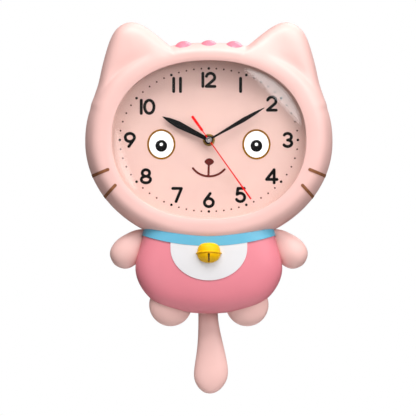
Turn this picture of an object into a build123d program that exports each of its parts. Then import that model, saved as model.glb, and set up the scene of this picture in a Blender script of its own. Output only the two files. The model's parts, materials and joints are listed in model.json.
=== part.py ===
from build123d import *

import os
from math import atan2, cos, degrees, hypot, pi, radians, sin, sqrt

# Cat-shaped wall clock with a quartz movement and a swinging tail. Millimetres.
# +X is to the right as seen from the front, +Z is up, and the wall is the plane Y = 0. The clock stands
# out from the wall towards -Y, so a depth here is always a distance in front of the wall.
# The origin is the centre of the hanging keyhole's round entry, on the wall plane.

os.makedirs("parts", exist_ok=True)

# ---------------------------------------------------------------- driving dimensions

HAND_Z = -74.0              # height of the hand axis
WALL = 2.4                  # moulded shells
COVER = 2.4                 # rear cover
COVER_GAP = 0.3             # all round the rear cover
REBATE = 0.4                # step that the rear cover sits against

# Head: an oval ring rolled from its outer outline to a nearly level front round the dial opening
HEAD_Z = -76.0
HEAD_SIDE, HEAD_TOP, HEAD_BOTTOM = 123.6, 99.5, 103.5
OPENING_SIDE, OPENING_HEIGHT = 97.0, 79.0
OVAL_POWER = 2.2            # a little squarer than an ellipse
BEZEL = 27.0                # outer outline to opening, measured at the sides
HEAD_PROFILE = [(0.8, 0.8), (0.1, 8), (0, 15), (0.3, 22), (1.8, 30), (4.8, 38), (8.8, 43.4),
                (13.5, 45.6), (18, 46), (22.5, 45.9), (BEZEL, 45.2)]   # inset, depth
LIP_INSET, LIP_DEPTH = 23.3, 37.0

# Ears: rounded triangles that shrink about a centre towards their domed faces
EAR_CENTRE = (78.0, 6.0)
EAR_HALF = 38.0
EAR_OUTLINE = [(77.7, 44.0), (91.5, 38.0), (98.5, 27), (103.5, 12), (107.8, -5), (111.2, -20), (115, -32),
               (107, -43), (62, -12), (34, 13), (47, 27), (60, 37)]
EAR_PROFILE = [(1.1, 0.8), (0, 8), (0, 15), (1.2, 22.5), (3.8, 28.8), (8.5, 33.8), (15.5, 37), (24, 38.6),
               (32, 39)]

# Body: a round-bottomed barrel whose top runs up inside the head
BODY_Z = -185.0
BODY_HALF = 73.2
BODY_OUTLINE = [(0, -247.1), (31, -244.3), (52, -236.8), (66, -223), (72.9, -205), (70.6, -187),
                (65.6, -170), (58, -152), (30, -144), (0, -143.5)]
BODY_PROFILE = [(0.9, 0.8), (0, 8), (0, 24), (1.1, 29), (4.4, 34), (11.5, 38.5), (23, 41.4), (38, 42.8),
                (52, 43.2)]
COLLAR_PROUD, PANEL_PROUD, WHISKER_PROUD = 1.0, 0.7, 0.5
COLLAR_END_Z, COLLAR_MID_Z, COLLAR_TOP_Z = -168.9, -179.4, -158.0
PANEL_HALF, PANEL_Z, PANEL_DROP = 38.2, -182.0, 32.0

# Limbs sit behind the body's rounded front edge
HAND_CENTRE, SHOULDER = (84.2, -188.0), (62.0, -165.0)
ARM_PROFILE = [(-14.7, 0), (-11.5, 9.2), (-5, 13.9), (2, 15.2), (9, 14.6), (17, 12.2), (25, 8.6), (33, 0)]
ARM_DEPTH, ARM_FLATNESS = 16.0, 0.8
FOOT_CENTRE, FOOT_DEPTH, FOOT_SIZE, FOOT_BACK = (38.3, -238.6), 20.5, (21.4, 9.5, 21.6), 14.6
PEG = 3.0                   # radius of the pegs that hold the limbs

# Bell
BELL_Z, BELL_DEPTH, BELL_TILT = -188.4, 41.5, 12.0
BELL_RADIUS, BELL_RIM, BELL_RIM_HEIGHT, BELL_WALL = 12.0, 13.3, 1.5, 1.8
BELL_UP, BELL_DOWN, BELL_POWER = 11.2, 8.7, 3.4
BELL_HOLE, BELL_HOLE_Z, BELL_SLOT = 1.2, -187.9, 1.4

# Depths of the movement and what is stacked on its front
CASE_BACK, CASE_FRONT, CASE_WALL = 6.5, 21.5, 1.5
CASE_HALF, CASE_TOP, CASE_BOTTOM = 29.0, 28.0, -64.0
PLATE_BACK = 5.0            # rear face of the movement cover
DIAL_BACK, DIAL_FRONT = 22.5, 23.5
DIAL_INSET, LENS_INSET = 17.5, 23.6
LENS_BACK, LENS_THICK = 35.2, 1.8
BUSHING_RADIUS = 3.9

# Hands, as they stand at rest: degrees clockwise from twelve
HOUR_ANGLE, MINUTE_ANGLE, SECOND_ANGLE = 296.6, 60.0, 144.6
HUB = 4.2
HOUR_HAND = [(0, 1.6), (10, 2.3), (34, 3.6), (44, 2.4), (51.8, 0.3)]         # radius, half width
MINUTE_HAND = [(0, 0.9), (12, 1.1), (40, 2.25), (54, 1.5), (64, 0.3)]
SECOND_HAND = [(-29, 1.3), (-11.5, 1.3), (-10.8, 0.5), (40, 0.6), (72.4, 0.85)]

# Gears: teeth and module; centre distances follow from them
SECONDS, SECONDS_PINION, GOING = 60, 8, 0.3
ROTOR_PINION, INTERMEDIATE, INTERMEDIATE_PINION = 8, 40, 10
ROTOR_X = 16.1
THIRD, THIRD_PINION, CENTRE = 60, 8, 64
CENTRE_MODULE = GOING * (SECONDS_PINION + THIRD) / (THIRD_PINION + CENTRE)
CANNON, MOTION, MOTION_MODULE = 12, 36, 0.4
MOTION_PINION, HOUR = 10, 40
HOUR_MODULE = MOTION_MODULE * (CANNON + MOTION) / (MOTION_PINION + HOUR)
KNOB_TEETH, KNOB_BEARING = 12, 150.0
TOOTH_TIP, TOOTH_ROOT, ADDENDUM, DEDENDUM = 0.2, 0.5, 0.85, 1.15   # shares of pitch and of module

# Battery bay and cell (AA)
CELL_RADIUS, CELL_Z, CELL_DEPTH, CELL_BACK_END, CELL_FRONT_END = 7.25, -20.5, 12.6, -24.0, 26.5
BAY_TOP, BAY_BOTTOM = -12.4, -28.6

# Pendulum
PIVOT_Z, PIVOT_RADIUS, PIVOT_CLEARANCE = -34.0, 1.0, 0.05
HANGER = (9.2, 12.2)
MAGNET_Z, MAGNET_RADIUS = -52.0, 4.0
HOOK_Z = -142.0
ROD = (8.0, 9.2)
ROD_HALF, ROD_END_Z, TAIL_PEG_Z = 2.5, -247.0, -242.0
TAIL_DEPTH, TAIL_WALL = 8.0, 2.0
TAIL_SECTIONS = [(-234, 7.5, -0.8), (-240, 9.3, -0.8), (-250, 9.9, -0.7), (-264, 10.9, 0.2),
                 (-279, 13.0, 1.5), (-294, 15.6, 2.2), (-304, 17.0, 2.2), (-312, 16.7, 1.9),
                 (-319, 13.9, 1.5), (-324.5, 9.2, 1.2), (-327.7, 3.5, 1.0)]     # height, half width, shift
TAIL_FULL, TAIL_FULL_DEPTH, TAIL_ROUNDING = 17.0, 7.4, 0.55
SWING_SLOT, SWING_SLOT_TOP = 32.0, -232.0       # half width and top of the gap in the body's rear edge
ROD_SLOT, ROD_SLOT_DEPTH = 15.0, 16.0           # the same in the head's underside

# ---------------------------------------------------------------- helpers


def front(depth):
    """A plane parallel to the wall; its local axes are X and Z, and it faces away from the wall."""
    return Plane.XZ.offset(depth)


def at(x, z):
    """A point given from the hand axis."""
    return (x, HAND_Z + z)


def bar(centre, radius, near, far, mode=Mode.ADD):
    """Put a round bar between two depths into the part in progress."""
    with BuildSketch(front(near)) as section:
        with Locations(centre):
            Circle(radius)
    extrude(section.sketch, amount=far - near, mode=mode)


def block(x_span, z_span, depth_span, mode=Mode.ADD):
    """Put a box into the part in progress."""
    with BuildSketch(front(depth_span[0])) as section:
        with Locations(((x_span[0] + x_span[1]) / 2, (z_span[0] + z_span[1]) / 2)):
            Rectangle(x_span[1] - x_span[0], z_span[1] - z_span[0])
    extrude(section.sketch, amount=depth_span[1] - depth_span[0], mode=mode)


def slab(points, near, far):
    """A solid with a smooth closed outline between two depths."""
    with BuildPart() as solid:
        with BuildSketch(front(near)):
            with BuildLine():
                Spline(*points, periodic=True)
            make_face()
        extrude(amount=far - near)
    return solid.part


def stack(outline, profile):
    """Loft an outline through a profile of (inset, depth) pairs."""
    with BuildPart() as solid:
        for inset, depth in profile:
            with BuildSketch(front(depth)):
                with BuildLine():
                    Spline(*outline(inset), periodic=True)
                make_face()
        loft()
    return solid.part


def moved_in(profile, distance):
    """Shift a profile square to its own slope, inwards for a positive distance."""
    shifted = []
    for i, (inset, depth) in enumerate(profile):
        before = profile[max(i - 1, 0)]
        after = profile[min(i + 1, len(profile) - 1)]
        run, rise = after[0] - before[0], after[1] - before[1]
        length = hypot(run, rise)
        shifted.append((inset + rise / length * distance, depth - run / length * distance))
    return shifted


def oval_point(side, height, power, angle):
    """A point on a superellipse."""
    x = abs(cos(angle)) ** (2 / power) * side
    z = abs(sin(angle)) ** (2 / power) * height
    return (x if cos(angle) >= 0 else -x, z if sin(angle) >= 0 else -z)


def ring_point(inset, angle):
    """A point of the head's front, from the outer outline (0) to the dial opening (BEZEL)."""
    above = sin(angle) >= 0
    outer = oval_point(HEAD_SIDE, HEAD_TOP if above else HEAD_BOTTOM, OVAL_POWER if above else 2, angle)
    inner = oval_point(OPENING_SIDE, OPENING_HEIGHT, OVAL_POWER, angle)
    share = inset / BEZEL
    return (outer[0] + (inner[0] - outer[0]) * share,
            HEAD_Z + outer[1] + (HAND_Z + inner[1] - HEAD_Z - outer[1]) * share)


def ring(inset):
    return [ring_point(inset, 2 * pi * i / 16) for i in range(16)]


def ear(side):
    """The ear's outline at an inset, as a function; side is -1 for the left ear, 1 for the right."""
    def outline(inset):
        size = 1 - inset / EAR_HALF
        cx, cz = EAR_CENTRE
        return [(side * (cx + (x - cx) * size), cz + (z - cz) * size) for x, z in EAR_OUTLINE]
    return outline


def body(inset):
    size = 1 - inset / BODY_HALF
    right = [(x * size, BODY_Z + (z - BODY_Z) * size) for x, z in BODY_OUTLINE]
    left = [(-x, z) for x, z in reversed(right[1:-1])]
    return right + left


def dome(size):
    """The dial opening's outline, scaled about the hand axis."""
    points = [oval_point(OPENING_SIDE, OPENING_HEIGHT, OVAL_POWER, 2 * pi * i / 16) for i in range(16)]
    return [at(x * size, z * size) for x, z in points]


def meshed(bearing, teeth, phase, other_teeth):
    """Phase of a gear that meshes with one whose phase is known; the bearing points to the new gear."""
    pitch_share = ((bearing - phase) * teeth / 360) % 1
    return bearing + 180 - 360 * (0.5 - pitch_share) / other_teeth


def gear(teeth, module, centre, phase, near, far):
    """Put a gear with straight-flanked teeth into the part in progress."""
    pitch = 2 * pi / teeth
    tip, root = module * (teeth / 2 + ADDENDUM), module * (teeth / 2 - DEDENDUM)
    corners = ((root, -TOOTH_ROOT / 2), (tip, -TOOTH_TIP / 2), (tip, TOOTH_TIP / 2), (root, TOOTH_ROOT / 2))
    points = []
    for tooth in range(teeth):
        for radius, share in corners:
            angle = radians(phase) + (tooth + share) * pitch
            points.append((centre[0] + radius * cos(angle), centre[1] + radius * sin(angle)))
    with BuildSketch(front(near)) as section:
        with BuildLine():
            Polyline(*points, close=True)
        make_face()
    extrude(section.sketch, amount=far - near)


def clock_direction(angle):
    """Unit vectors along and across a hand that points at this many degrees clockwise from twelve."""
    a = radians(angle)
    return (sin(a), cos(a)), (cos(a), -sin(a))


def hand_blade(half_outline, angle, near, far):
    """Put a hand's blade into the part in progress."""
    along, across = clock_direction(angle)
    edges = half_outline + [(radius, -half) for radius, half in reversed(half_outline)]
    points = [at(r * along[0] + w * across[0], r * along[1] + w * across[1]) for r, w in edges]
    with BuildSketch(front(near)) as section:
        with BuildLine():
            Polyline(*points, close=True)
        make_face()
    extrude(section.sketch, amount=far - near)


def screw(centre, head_depth, head_height, shank_end, head_radius, shank_radius):
    """Put a cross-headed screw, driven from the rear, into the part in progress."""
    bar(centre, head_radius, head_depth, head_depth + head_height)
    bar(centre, shank_radius, head_depth + head_height, shank_end)
    x, z = centre
    arm, half = head_radius * 0.6, 0.35
    recess = (head_depth - 0.1, head_depth + head_height / 2)
    block((x - arm, x + arm), (z - half, z + half), recess, Mode.SUBTRACT)
    block((x - half, x + half), (z - arm, z + arm), recess, Mode.SUBTRACT)


def write(piece, name):
    piece.part.label = name
    export_step(piece.part, f"parts/{name}.step")


# ---------------------------------------------------------------- shared volumes

head_outer = stack(ring, HEAD_PROFILE)
inner_profile = moved_in(HEAD_PROFILE, WALL)
head_cavity = stack(ring, [(inner_profile[0][0], -1.0)] + inner_profile[1:-1] + [(LIP_INSET, LIP_DEPTH)])
ear_outer = {side: stack(ear(side), EAR_PROFILE) for side in (-1, 1)}
ear_inner_profile = moved_in(EAR_PROFILE, WALL)
ear_cavity = {side: stack(ear(side), [(ear_inner_profile[0][0], -1.0)] + ear_inner_profile[1:])
              for side in (-1, 1)}
body_outer = stack(body, BODY_PROFILE)
body_inner_profile = moved_in(BODY_PROFILE, WALL)
body_cavity = stack(body, [(body_inner_profile[0][0], -1.0)] + body_inner_profile[1:])
RIM_INSET = inner_profile[0][0] - REBATE

REBATES = [slab(outline(RIM_INSET), -1, COVER + 0.1) for outline in (ring, ear(-1), ear(1), body)]

BOSS_ANGLES = [25, 155, 215, 325]
HEAD_BOSSES = [ring_point(9.5, radians(angle)) for angle in BOSS_ANGLES]
BODY_BOSSES = [(-52.0, -216.0), (52.0, -216.0)]
DIAL_POSTS = [ring_point(20.3, radians(angle)) for angle in (50, 130, 230, 310)]
BOSS_RADIUS, BOSS_END, SCREW_RADIUS, SCREW_END = 3.5, 45.0, 1.3, 11.0
POST_RADIUS, DIAL_SCREW_RADIUS = 1.8, 0.8

# ---------------------------------------------------------------- head

# Bosses for the cover's screws and posts for the dial's, all ending inside the wall
with BuildPart() as head_bosses:
    for centre in HEAD_BOSSES:
        bar(centre, BOSS_RADIUS, COVER, BOSS_END)
    for centre in DIAL_POSTS:
        bar(centre, POST_RADIUS, DIAL_FRONT, BOSS_END)
    add(stack(ring, moved_in(HEAD_PROFILE, WALL / 2)), mode=Mode.INTERSECT)

with BuildPart() as head_shell:
    add(head_outer)
    add(ear_outer[-1])
    add(ear_outer[1])
    add(head_cavity, mode=Mode.SUBTRACT)
    add(ear_cavity[-1], mode=Mode.SUBTRACT)
    add(ear_cavity[1], mode=Mode.SUBTRACT)
    add(slab(ring(BEZEL), 30, 50), mode=Mode.SUBTRACT)
    for rebate in REBATES:
        add(rebate, mode=Mode.SUBTRACT)
    block((-ROD_SLOT, ROD_SLOT), (HEAD_Z - HEAD_BOTTOM - 6, -160), (-1, ROD_SLOT_DEPTH), Mode.SUBTRACT)
    add(head_bosses.part)
    for centre in HEAD_BOSSES:
        bar(centre, SCREW_RADIUS, COVER, SCREW_END + 1, Mode.SUBTRACT)
    for centre in DIAL_POSTS:
        bar(centre, DIAL_SCREW_RADIUS, DIAL_FRONT, 30, Mode.SUBTRACT)
write(head_shell, "head_shell")

# Forehead pads: the tops of three ellipsoids that stand a little out of the head
PAD_X, PAD_SPAN, PAD_DEPTH, PAD_CENTRE_DEPTH, PAD_HEIGHT = 24.7, 11.0, 14.5, 27.0, 11.3
PAD_Z = {"left": 13.4, "middle": 14.3, "right": 13.4}
for name, x in (("left", -PAD_X), ("middle", 0.0), ("right", PAD_X)):
    with BuildPart() as pad:
        with BuildPart(mode=Mode.PRIVATE) as unit:
            Sphere(1)
        shape = scale(unit.part, by=(PAD_SPAN, PAD_DEPTH, PAD_HEIGHT), mode=Mode.PRIVATE)
        with Locations((x, -PAD_CENTRE_DEPTH, PAD_Z[name])):
            add(shape)
        add(head_outer, mode=Mode.SUBTRACT)
    write(pad, f"forehead_pad_{name}")

# Whiskers: shallow raised strips that run over the bezel's rolled edge
WHISKER_WIDTH = 3.2
WHISKERS = [((100.5, -103.7), (121, -112.1)), ((93.2, -119.4), (109, -136.5))]
whisker_skin = stack(ring, moved_in(HEAD_PROFILE, -WHISKER_PROUD))
for name, side in (("left", -1), ("right", 1)):
    with BuildPart() as whiskers:
        with BuildSketch(front(20)):
            for (x0, z0), (x1, z1) in WHISKERS:
                middle = (side * (x0 + x1) / 2, (z0 + z1) / 2)
                slope = degrees(atan2(z1 - z0, side * (x1 - x0)))
                with Locations(Location(middle, slope)):
                    SlotCenterToCenter(hypot(x1 - x0, z1 - z0), WHISKER_WIDTH)
        extrude(amount=30)
        add(whisker_skin, mode=Mode.INTERSECT)
        add(head_outer, mode=Mode.SUBTRACT)
    write(whiskers, f"whiskers_{name}")

# ---------------------------------------------------------------- lens, dial and their fixings

LENS_DOME = [(0.98, LENS_BACK), (0.94, 37.8), (0.84, 39.7), (0.68, 41.2), (0.45, 42.2), (0.2, 42.6)]
with BuildPart() as lens:
    add(slab(ring(LENS_INSET), LENS_BACK, LENS_BACK + LENS_THICK))
    add(stack(dome, LENS_DOME))
    add(stack(dome, [(size - 0.02, depth - LENS_THICK) for size, depth in LENS_DOME]), mode=Mode.SUBTRACT)
write(lens, "lens")

with BuildPart() as spacer_ring:
    add(slab(ring(LENS_INSET), DIAL_FRONT, LENS_BACK))
    add(slab(ring(BEZEL - 0.7), DIAL_FRONT - 1, LENS_BACK + 1), mode=Mode.SUBTRACT)
write(spacer_ring, "spacer_ring")

with BuildPart() as dial_plate:
    add(slab(ring(DIAL_INSET), DIAL_BACK, DIAL_FRONT))
    bar(at(0, 0), BUSHING_RADIUS, DIAL_BACK - 1, DIAL_FRONT + 1, Mode.SUBTRACT)
    for centre in DIAL_POSTS:
        bar(centre, DIAL_SCREW_RADIUS, DIAL_BACK - 1, DIAL_FRONT + 1, Mode.SUBTRACT)
write(dial_plate, "dial_plate")

with BuildPart() as dial_screws:
    for centre in DIAL_POSTS:
        screw(centre, DIAL_BACK - 1.2, 1.2, 29.0, 1.8, DIAL_SCREW_RADIUS)
write(dial_screws, "dial_screws")

# ---------------------------------------------------------------- rear cover

KEYHOLE_RADIUS, KEYHOLE_SLOT, KEYHOLE_RISE = 4.5, 2.5, 12.0
COVER_INSET = RIM_INSET + COVER_GAP
WINDOW_GAP = 1.5
SCREW_HEAD, SCREW_HEAD_HEIGHT, SINK_RADIUS, SINK = 3.0, 1.1, 3.3, 1.2
with BuildPart() as rear_cover:
    with BuildSketch(front(0)):
        for outline in (ring(COVER_INSET), ear(-1)(COVER_INSET), ear(1)(COVER_INSET), body(COVER_INSET)):
            with BuildLine():
                Spline(*outline, periodic=True)
            make_face()
    extrude(amount=COVER)
    block((-CASE_HALF - WINDOW_GAP, CASE_HALF + WINDOW_GAP),
          (HAND_Z + CASE_BOTTOM - WINDOW_GAP, HAND_Z + CASE_TOP + WINDOW_GAP), (-1, COVER + 1), Mode.SUBTRACT)
    bar((0, 0), KEYHOLE_RADIUS, -1, COVER + 1, Mode.SUBTRACT)
    block((-KEYHOLE_SLOT, KEYHOLE_SLOT), (0, KEYHOLE_RISE), (-1, COVER + 1), Mode.SUBTRACT)
    bar((0, KEYHOLE_RISE), KEYHOLE_SLOT, -1, COVER + 1, Mode.SUBTRACT)
    for centre in HEAD_BOSSES + BODY_BOSSES:
        bar(centre, SCREW_RADIUS + 0.3, -1, COVER + 1, Mode.SUBTRACT)
        bar(centre, SINK_RADIUS, -1, SINK, Mode.SUBTRACT)
write(rear_cover, "rear_cover")

with BuildPart() as rear_cover_screws:
    for centre in HEAD_BOSSES + BODY_BOSSES:
        screw(centre, SINK - SCREW_HEAD_HEIGHT, SCREW_HEAD_HEIGHT, SCREW_END, SCREW_HEAD, SCREW_RADIUS)
write(rear_cover_screws, "rear_cover_screws")

# ---------------------------------------------------------------- body and what is fixed to it

ARM_PEG_Z, ARM_PEG = -180.0, (60.0, 80.0)
FOOT_PEG = (-250.0, -236.0)


def peg(side, mode=Mode.ADD):
    """Put the arm's level peg into the part in progress."""
    with BuildSketch(Plane.YZ.offset(side * ARM_PEG[0])) as section:
        with Locations((-ARM_DEPTH, ARM_PEG_Z)):
            Circle(PEG)
    extrude(section.sketch, amount=side * (ARM_PEG[1] - ARM_PEG[0]), mode=mode)


def foot_peg(side, mode=Mode.ADD):
    """Put the foot's upright peg into the part in progress."""
    with BuildSketch(Plane.XY.offset(FOOT_PEG[0])) as section:
        with Locations((side * FOOT_CENTRE[0], -FOOT_DEPTH - 2)):
            Circle(PEG)
    extrude(section.sketch, amount=FOOT_PEG[1] - FOOT_PEG[0], mode=mode)


with BuildPart() as body_bosses:
    for centre in BODY_BOSSES:
        bar(centre, BOSS_RADIUS, COVER, BOSS_END)
    add(stack(body, moved_in(BODY_PROFILE, WALL / 2)), mode=Mode.INTERSECT)

with BuildPart() as body_shell:
    add(body_outer)
    add(body_cavity, mode=Mode.SUBTRACT)
    add(REBATES[-1], mode=Mode.SUBTRACT)
    add(head_outer, mode=Mode.SUBTRACT)
    block((-SWING_SLOT, SWING_SLOT), (-260, SWING_SLOT_TOP), (-1, FOOT_BACK - 0.4), Mode.SUBTRACT)
    add(body_bosses.part)
    for centre in BODY_BOSSES:
        bar(centre, SCREW_RADIUS, COVER, SCREW_END + 1, Mode.SUBTRACT)
    for side in (-1, 1):
        peg(side, Mode.SUBTRACT)
        foot_peg(side, Mode.SUBTRACT)
write(body_shell, "body_shell")

# Collar: a band that stands a little out of the body, with its lower edge on a wide arc
collar_skin = stack(body, moved_in(BODY_PROFILE, -COLLAR_PROUD))
with BuildPart() as collar:
    with BuildSketch(front(COVER + 0.6)):
        with BuildLine():
            ThreePointArc((-BODY_HALF, COLLAR_END_Z), (0, COLLAR_MID_Z), (BODY_HALF, COLLAR_END_Z))
            Polyline((BODY_HALF, COLLAR_END_Z), (BODY_HALF, COLLAR_TOP_Z), (-BODY_HALF, COLLAR_TOP_Z),
                     (-BODY_HALF, COLLAR_END_Z))
        make_face()
    extrude(amount=50)
    add(collar_skin, mode=Mode.INTERSECT)
    add(body_outer, mode=Mode.SUBTRACT)
    add(head_outer, mode=Mode.SUBTRACT)
write(collar, "collar")

panel_skin = stack(body, moved_in(BODY_PROFILE, -PANEL_PROUD))
with BuildPart() as belly_panel:
    with BuildSketch(front(36)):
        with BuildLine():
            EllipticalCenterArc((0, PANEL_Z), PANEL_HALF, PANEL_DROP, 180, arc_size=180)
            Polyline((PANEL_HALF, PANEL_Z), (PANEL_HALF, -165), (-PANEL_HALF, -165), (-PANEL_HALF, PANEL_Z))
        make_face()
    extrude(amount=12)
    add(panel_skin, mode=Mode.INTERSECT)
    add(body_outer, mode=Mode.SUBTRACT)
    add(collar.part, mode=Mode.SUBTRACT)
    add(head_outer, mode=Mode.SUBTRACT)
write(belly_panel, "belly_panel")

# Bell: a domed top with a rolled rim over a slotted cup, tipped so that its slot shows, and cut off
# flat against the body and the collar
bell_plane = Plane(origin=(0, -BELL_DEPTH, BELL_Z), x_dir=(1, 0, 0),
                   z_dir=(0, sin(radians(BELL_TILT)), cos(radians(BELL_TILT))))
bell_profile = Plane(origin=bell_plane.origin, x_dir=bell_plane.x_dir, z_dir=-bell_plane.y_dir)
bell_axis = Axis(bell_plane.origin, bell_plane.z_dir)
with BuildPart() as bell_upper:
    with BuildSketch(bell_profile):
        with BuildLine():
            Spline(*[oval_point(BELL_RADIUS, BELL_UP, BELL_POWER, pi * i / 16) for i in range(9)],
                   tangents=((0, 1), (-1, 0)))
            Polyline((0, BELL_UP), (0, 0), (BELL_RADIUS, 0))
        make_face()
        with Locations(((BELL_RIM + 3) / 2, 0)):
            Rectangle(BELL_RIM - 3, BELL_RIM_HEIGHT, align=(Align.CENTER, Align.MIN))
    revolve(axis=bell_axis)
    rim_edges = bell_upper.edges().filter_by(GeomType.CIRCLE).sort_by(SortBy.RADIUS)[-2:]
    fillet(rim_edges, BELL_RIM_HEIGHT * 0.45)
    for body_piece in (body_outer, collar_skin, belly_panel.part):
        add(body_piece, mode=Mode.SUBTRACT)
write(bell_upper, "bell_upper")

with BuildPart() as bell_lower:
    with BuildSketch(bell_profile):
        with BuildLine():
            EllipticalCenterArc((0, 0), BELL_RADIUS, BELL_DOWN, 270, arc_size=90)
            Line((BELL_RADIUS, 0), (BELL_RADIUS - BELL_WALL, 0))
            EllipticalCenterArc((0, 0), BELL_RADIUS - BELL_WALL, BELL_DOWN - BELL_WALL, 270, arc_size=90)
            Line((0, BELL_WALL - BELL_DOWN), (0, -BELL_DOWN))
        make_face()
    revolve(axis=bell_axis)
    block((-BELL_SLOT / 2, BELL_SLOT / 2), (BELL_Z - 14, BELL_HOLE_Z), (45, 60), Mode.SUBTRACT)
    bar((0, BELL_HOLE_Z), BELL_HOLE, 45, 60, Mode.SUBTRACT)
    for body_piece in (body_outer, collar_skin, belly_panel.part):
        add(body_piece, mode=Mode.SUBTRACT)
write(bell_lower, "bell_lower")

# Arms: a teardrop turned about the line from hand to shoulder, then flattened front to back
for name, side in (("left", -1), ("right", 1)):
    hand, shoulder = (side * HAND_CENTRE[0], HAND_CENTRE[1]), (side * SHOULDER[0], SHOULDER[1])
    span = hypot(shoulder[0] - hand[0], shoulder[1] - hand[1])
    arm_axis = ((shoulder[0] - hand[0]) / span, 0, (shoulder[1] - hand[1]) / span)
    arm_plane = Plane(origin=(hand[0], 0, hand[1]), x_dir=arm_axis, z_dir=(0, -1, 0))
    with BuildPart() as teardrop:
        with BuildSketch(arm_plane):
            with BuildLine():
                Spline(*ARM_PROFILE, tangents=((0, 1), (0, -1)), tangent_scalars=(0.6, 0.6))
                Line(ARM_PROFILE[-1], ARM_PROFILE[0])
            make_face()
        revolve(axis=Axis(arm_plane.origin, arm_plane.x_dir))
        scale(by=(1, ARM_FLATNESS, 1))
    with BuildPart() as arm:
        with Locations((0, -ARM_DEPTH, 0)):
            add(teardrop.part)
        for neighbour in (body_outer, head_outer, collar.part):
            add(neighbour, mode=Mode.SUBTRACT)
        peg(side)
    write(arm, f"arm_{name}")

for name, side in (("left", -1), ("right", 1)):
    with BuildPart() as foot:
        with BuildPart(mode=Mode.PRIVATE) as unit:
            Sphere(1)
        shape = scale(unit.part, by=FOOT_SIZE, mode=Mode.PRIVATE)
        with Locations((side * FOOT_CENTRE[0], -FOOT_DEPTH, FOOT_CENTRE[1])):
            add(shape)
        block((-70, 70), (-270, -200), (0, FOOT_BACK), Mode.SUBTRACT)
        add(body_outer, mode=Mode.SUBTRACT)
        foot_peg(side)
    write(foot, f"foot_{name}")

# ---------------------------------------------------------------- movement case

PIN_CLEARANCE = 0.05
to_seconds = GOING * (SECONDS + INTERMEDIATE_PINION) / 2
to_rotor = GOING * (INTERMEDIATE + ROTOR_PINION) / 2
intermediate_x = (to_seconds ** 2 - to_rotor ** 2 + ROTOR_X ** 2) / (2 * ROTOR_X)
INTERMEDIATE_AT = (intermediate_x, -sqrt(to_seconds ** 2 - intermediate_x ** 2))
ROTOR_AT = (ROTOR_X, 0.0)
THIRD_AT = (0.0, GOING * (SECONDS_PINION + THIRD) / 2)
MOTION_AT = (-MOTION_MODULE * (CANNON + MOTION) / 2, 0.0)
knob_reach = MOTION_MODULE * (KNOB_TEETH + MOTION) / 2
KNOB_AT = (MOTION_AT[0] + knob_reach * cos(radians(KNOB_BEARING)), knob_reach * sin(radians(KNOB_BEARING)))

FRONT_WALL = CASE_FRONT - CASE_WALL
FRONT_PIVOTS = [(INTERMEDIATE_AT, 0.4), (ROTOR_AT, 0.3), (THIRD_AT, 0.4), (KNOB_AT, 0.8)]
BACK_PIVOTS = [(INTERMEDIATE_AT, 0.4), (ROTOR_AT, 0.3), (THIRD_AT, 0.4), ((0, 0), 0.5)]
PIVOT_BACK_DEPTH, PIVOT_FRONT_DEPTH = 5.6, 20.8
STATOR, STATOR_POSTS = (14.0, 15.0), [(12.4, 22.6), (17.5, 22.6)]
BOARD, BOARD_POSTS = (12.0, 13.0), [(-23.0, 22.8), (-12.5, 22.8)]
COIL_CORE_RADIUS, DRIVE_COIL_RADIUS, DRIVE_COIL = 3.0, 8.0, (14.2, 19.0)
inside = CASE_HALF - CASE_WALL

with BuildPart() as movement_case:
    block((-CASE_HALF, CASE_HALF), (HAND_Z + CASE_BOTTOM, HAND_Z + CASE_TOP), (CASE_BACK, CASE_FRONT))
    fillet(movement_case.edges().filter_by(Axis.Y), 2.5)
    block((-inside, inside), (HAND_Z + CASE_BOTTOM + CASE_WALL, HAND_Z + CASE_TOP - CASE_WALL),
          (CASE_BACK - 1, FRONT_WALL), Mode.SUBTRACT)
    for wall_z in (BAY_TOP, BAY_BOTTOM - 1):
        block((-inside, inside), (HAND_Z + wall_z, HAND_Z + wall_z + 1), (CASE_BACK, FRONT_WALL))
    bar(at(0, 0), BUSHING_RADIUS, FRONT_WALL - 1, CASE_FRONT + 1, Mode.SUBTRACT)
    for (x, z), radius in FRONT_PIVOTS:
        bar(at(x, z), radius + PIN_CLEARANCE, FRONT_WALL - 1, PIVOT_FRONT_DEPTH + 0.1, Mode.SUBTRACT)
    bar(at(*MOTION_AT), 0.8, 15.3, FRONT_WALL)
    for x, z in STATOR_POSTS:
        bar(at(x, z), 1.1, STATOR[1], FRONT_WALL)
    for x, z in BOARD_POSTS:
        bar(at(x, z), 1.1, BOARD[1], FRONT_WALL)
    bar(at(0, MAGNET_Z), COIL_CORE_RADIUS, DRIVE_COIL[0] + 0.4, FRONT_WALL)
    bar(at(0, PIVOT_Z), PIVOT_RADIUS + 1.5, HANGER[1] + 0.4, FRONT_WALL)
    bar(at(0, PIVOT_Z), PIVOT_RADIUS, HANGER[1], PIVOT_FRONT_DEPTH, Mode.SUBTRACT)
    block((-10, 10), (HAND_Z + CASE_BOTTOM - 1, HAND_Z + CASE_BOTTOM + CASE_WALL + 0.1), (CASE_BACK + 1, 14),
          Mode.SUBTRACT)
write(movement_case, "movement_case")

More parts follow.
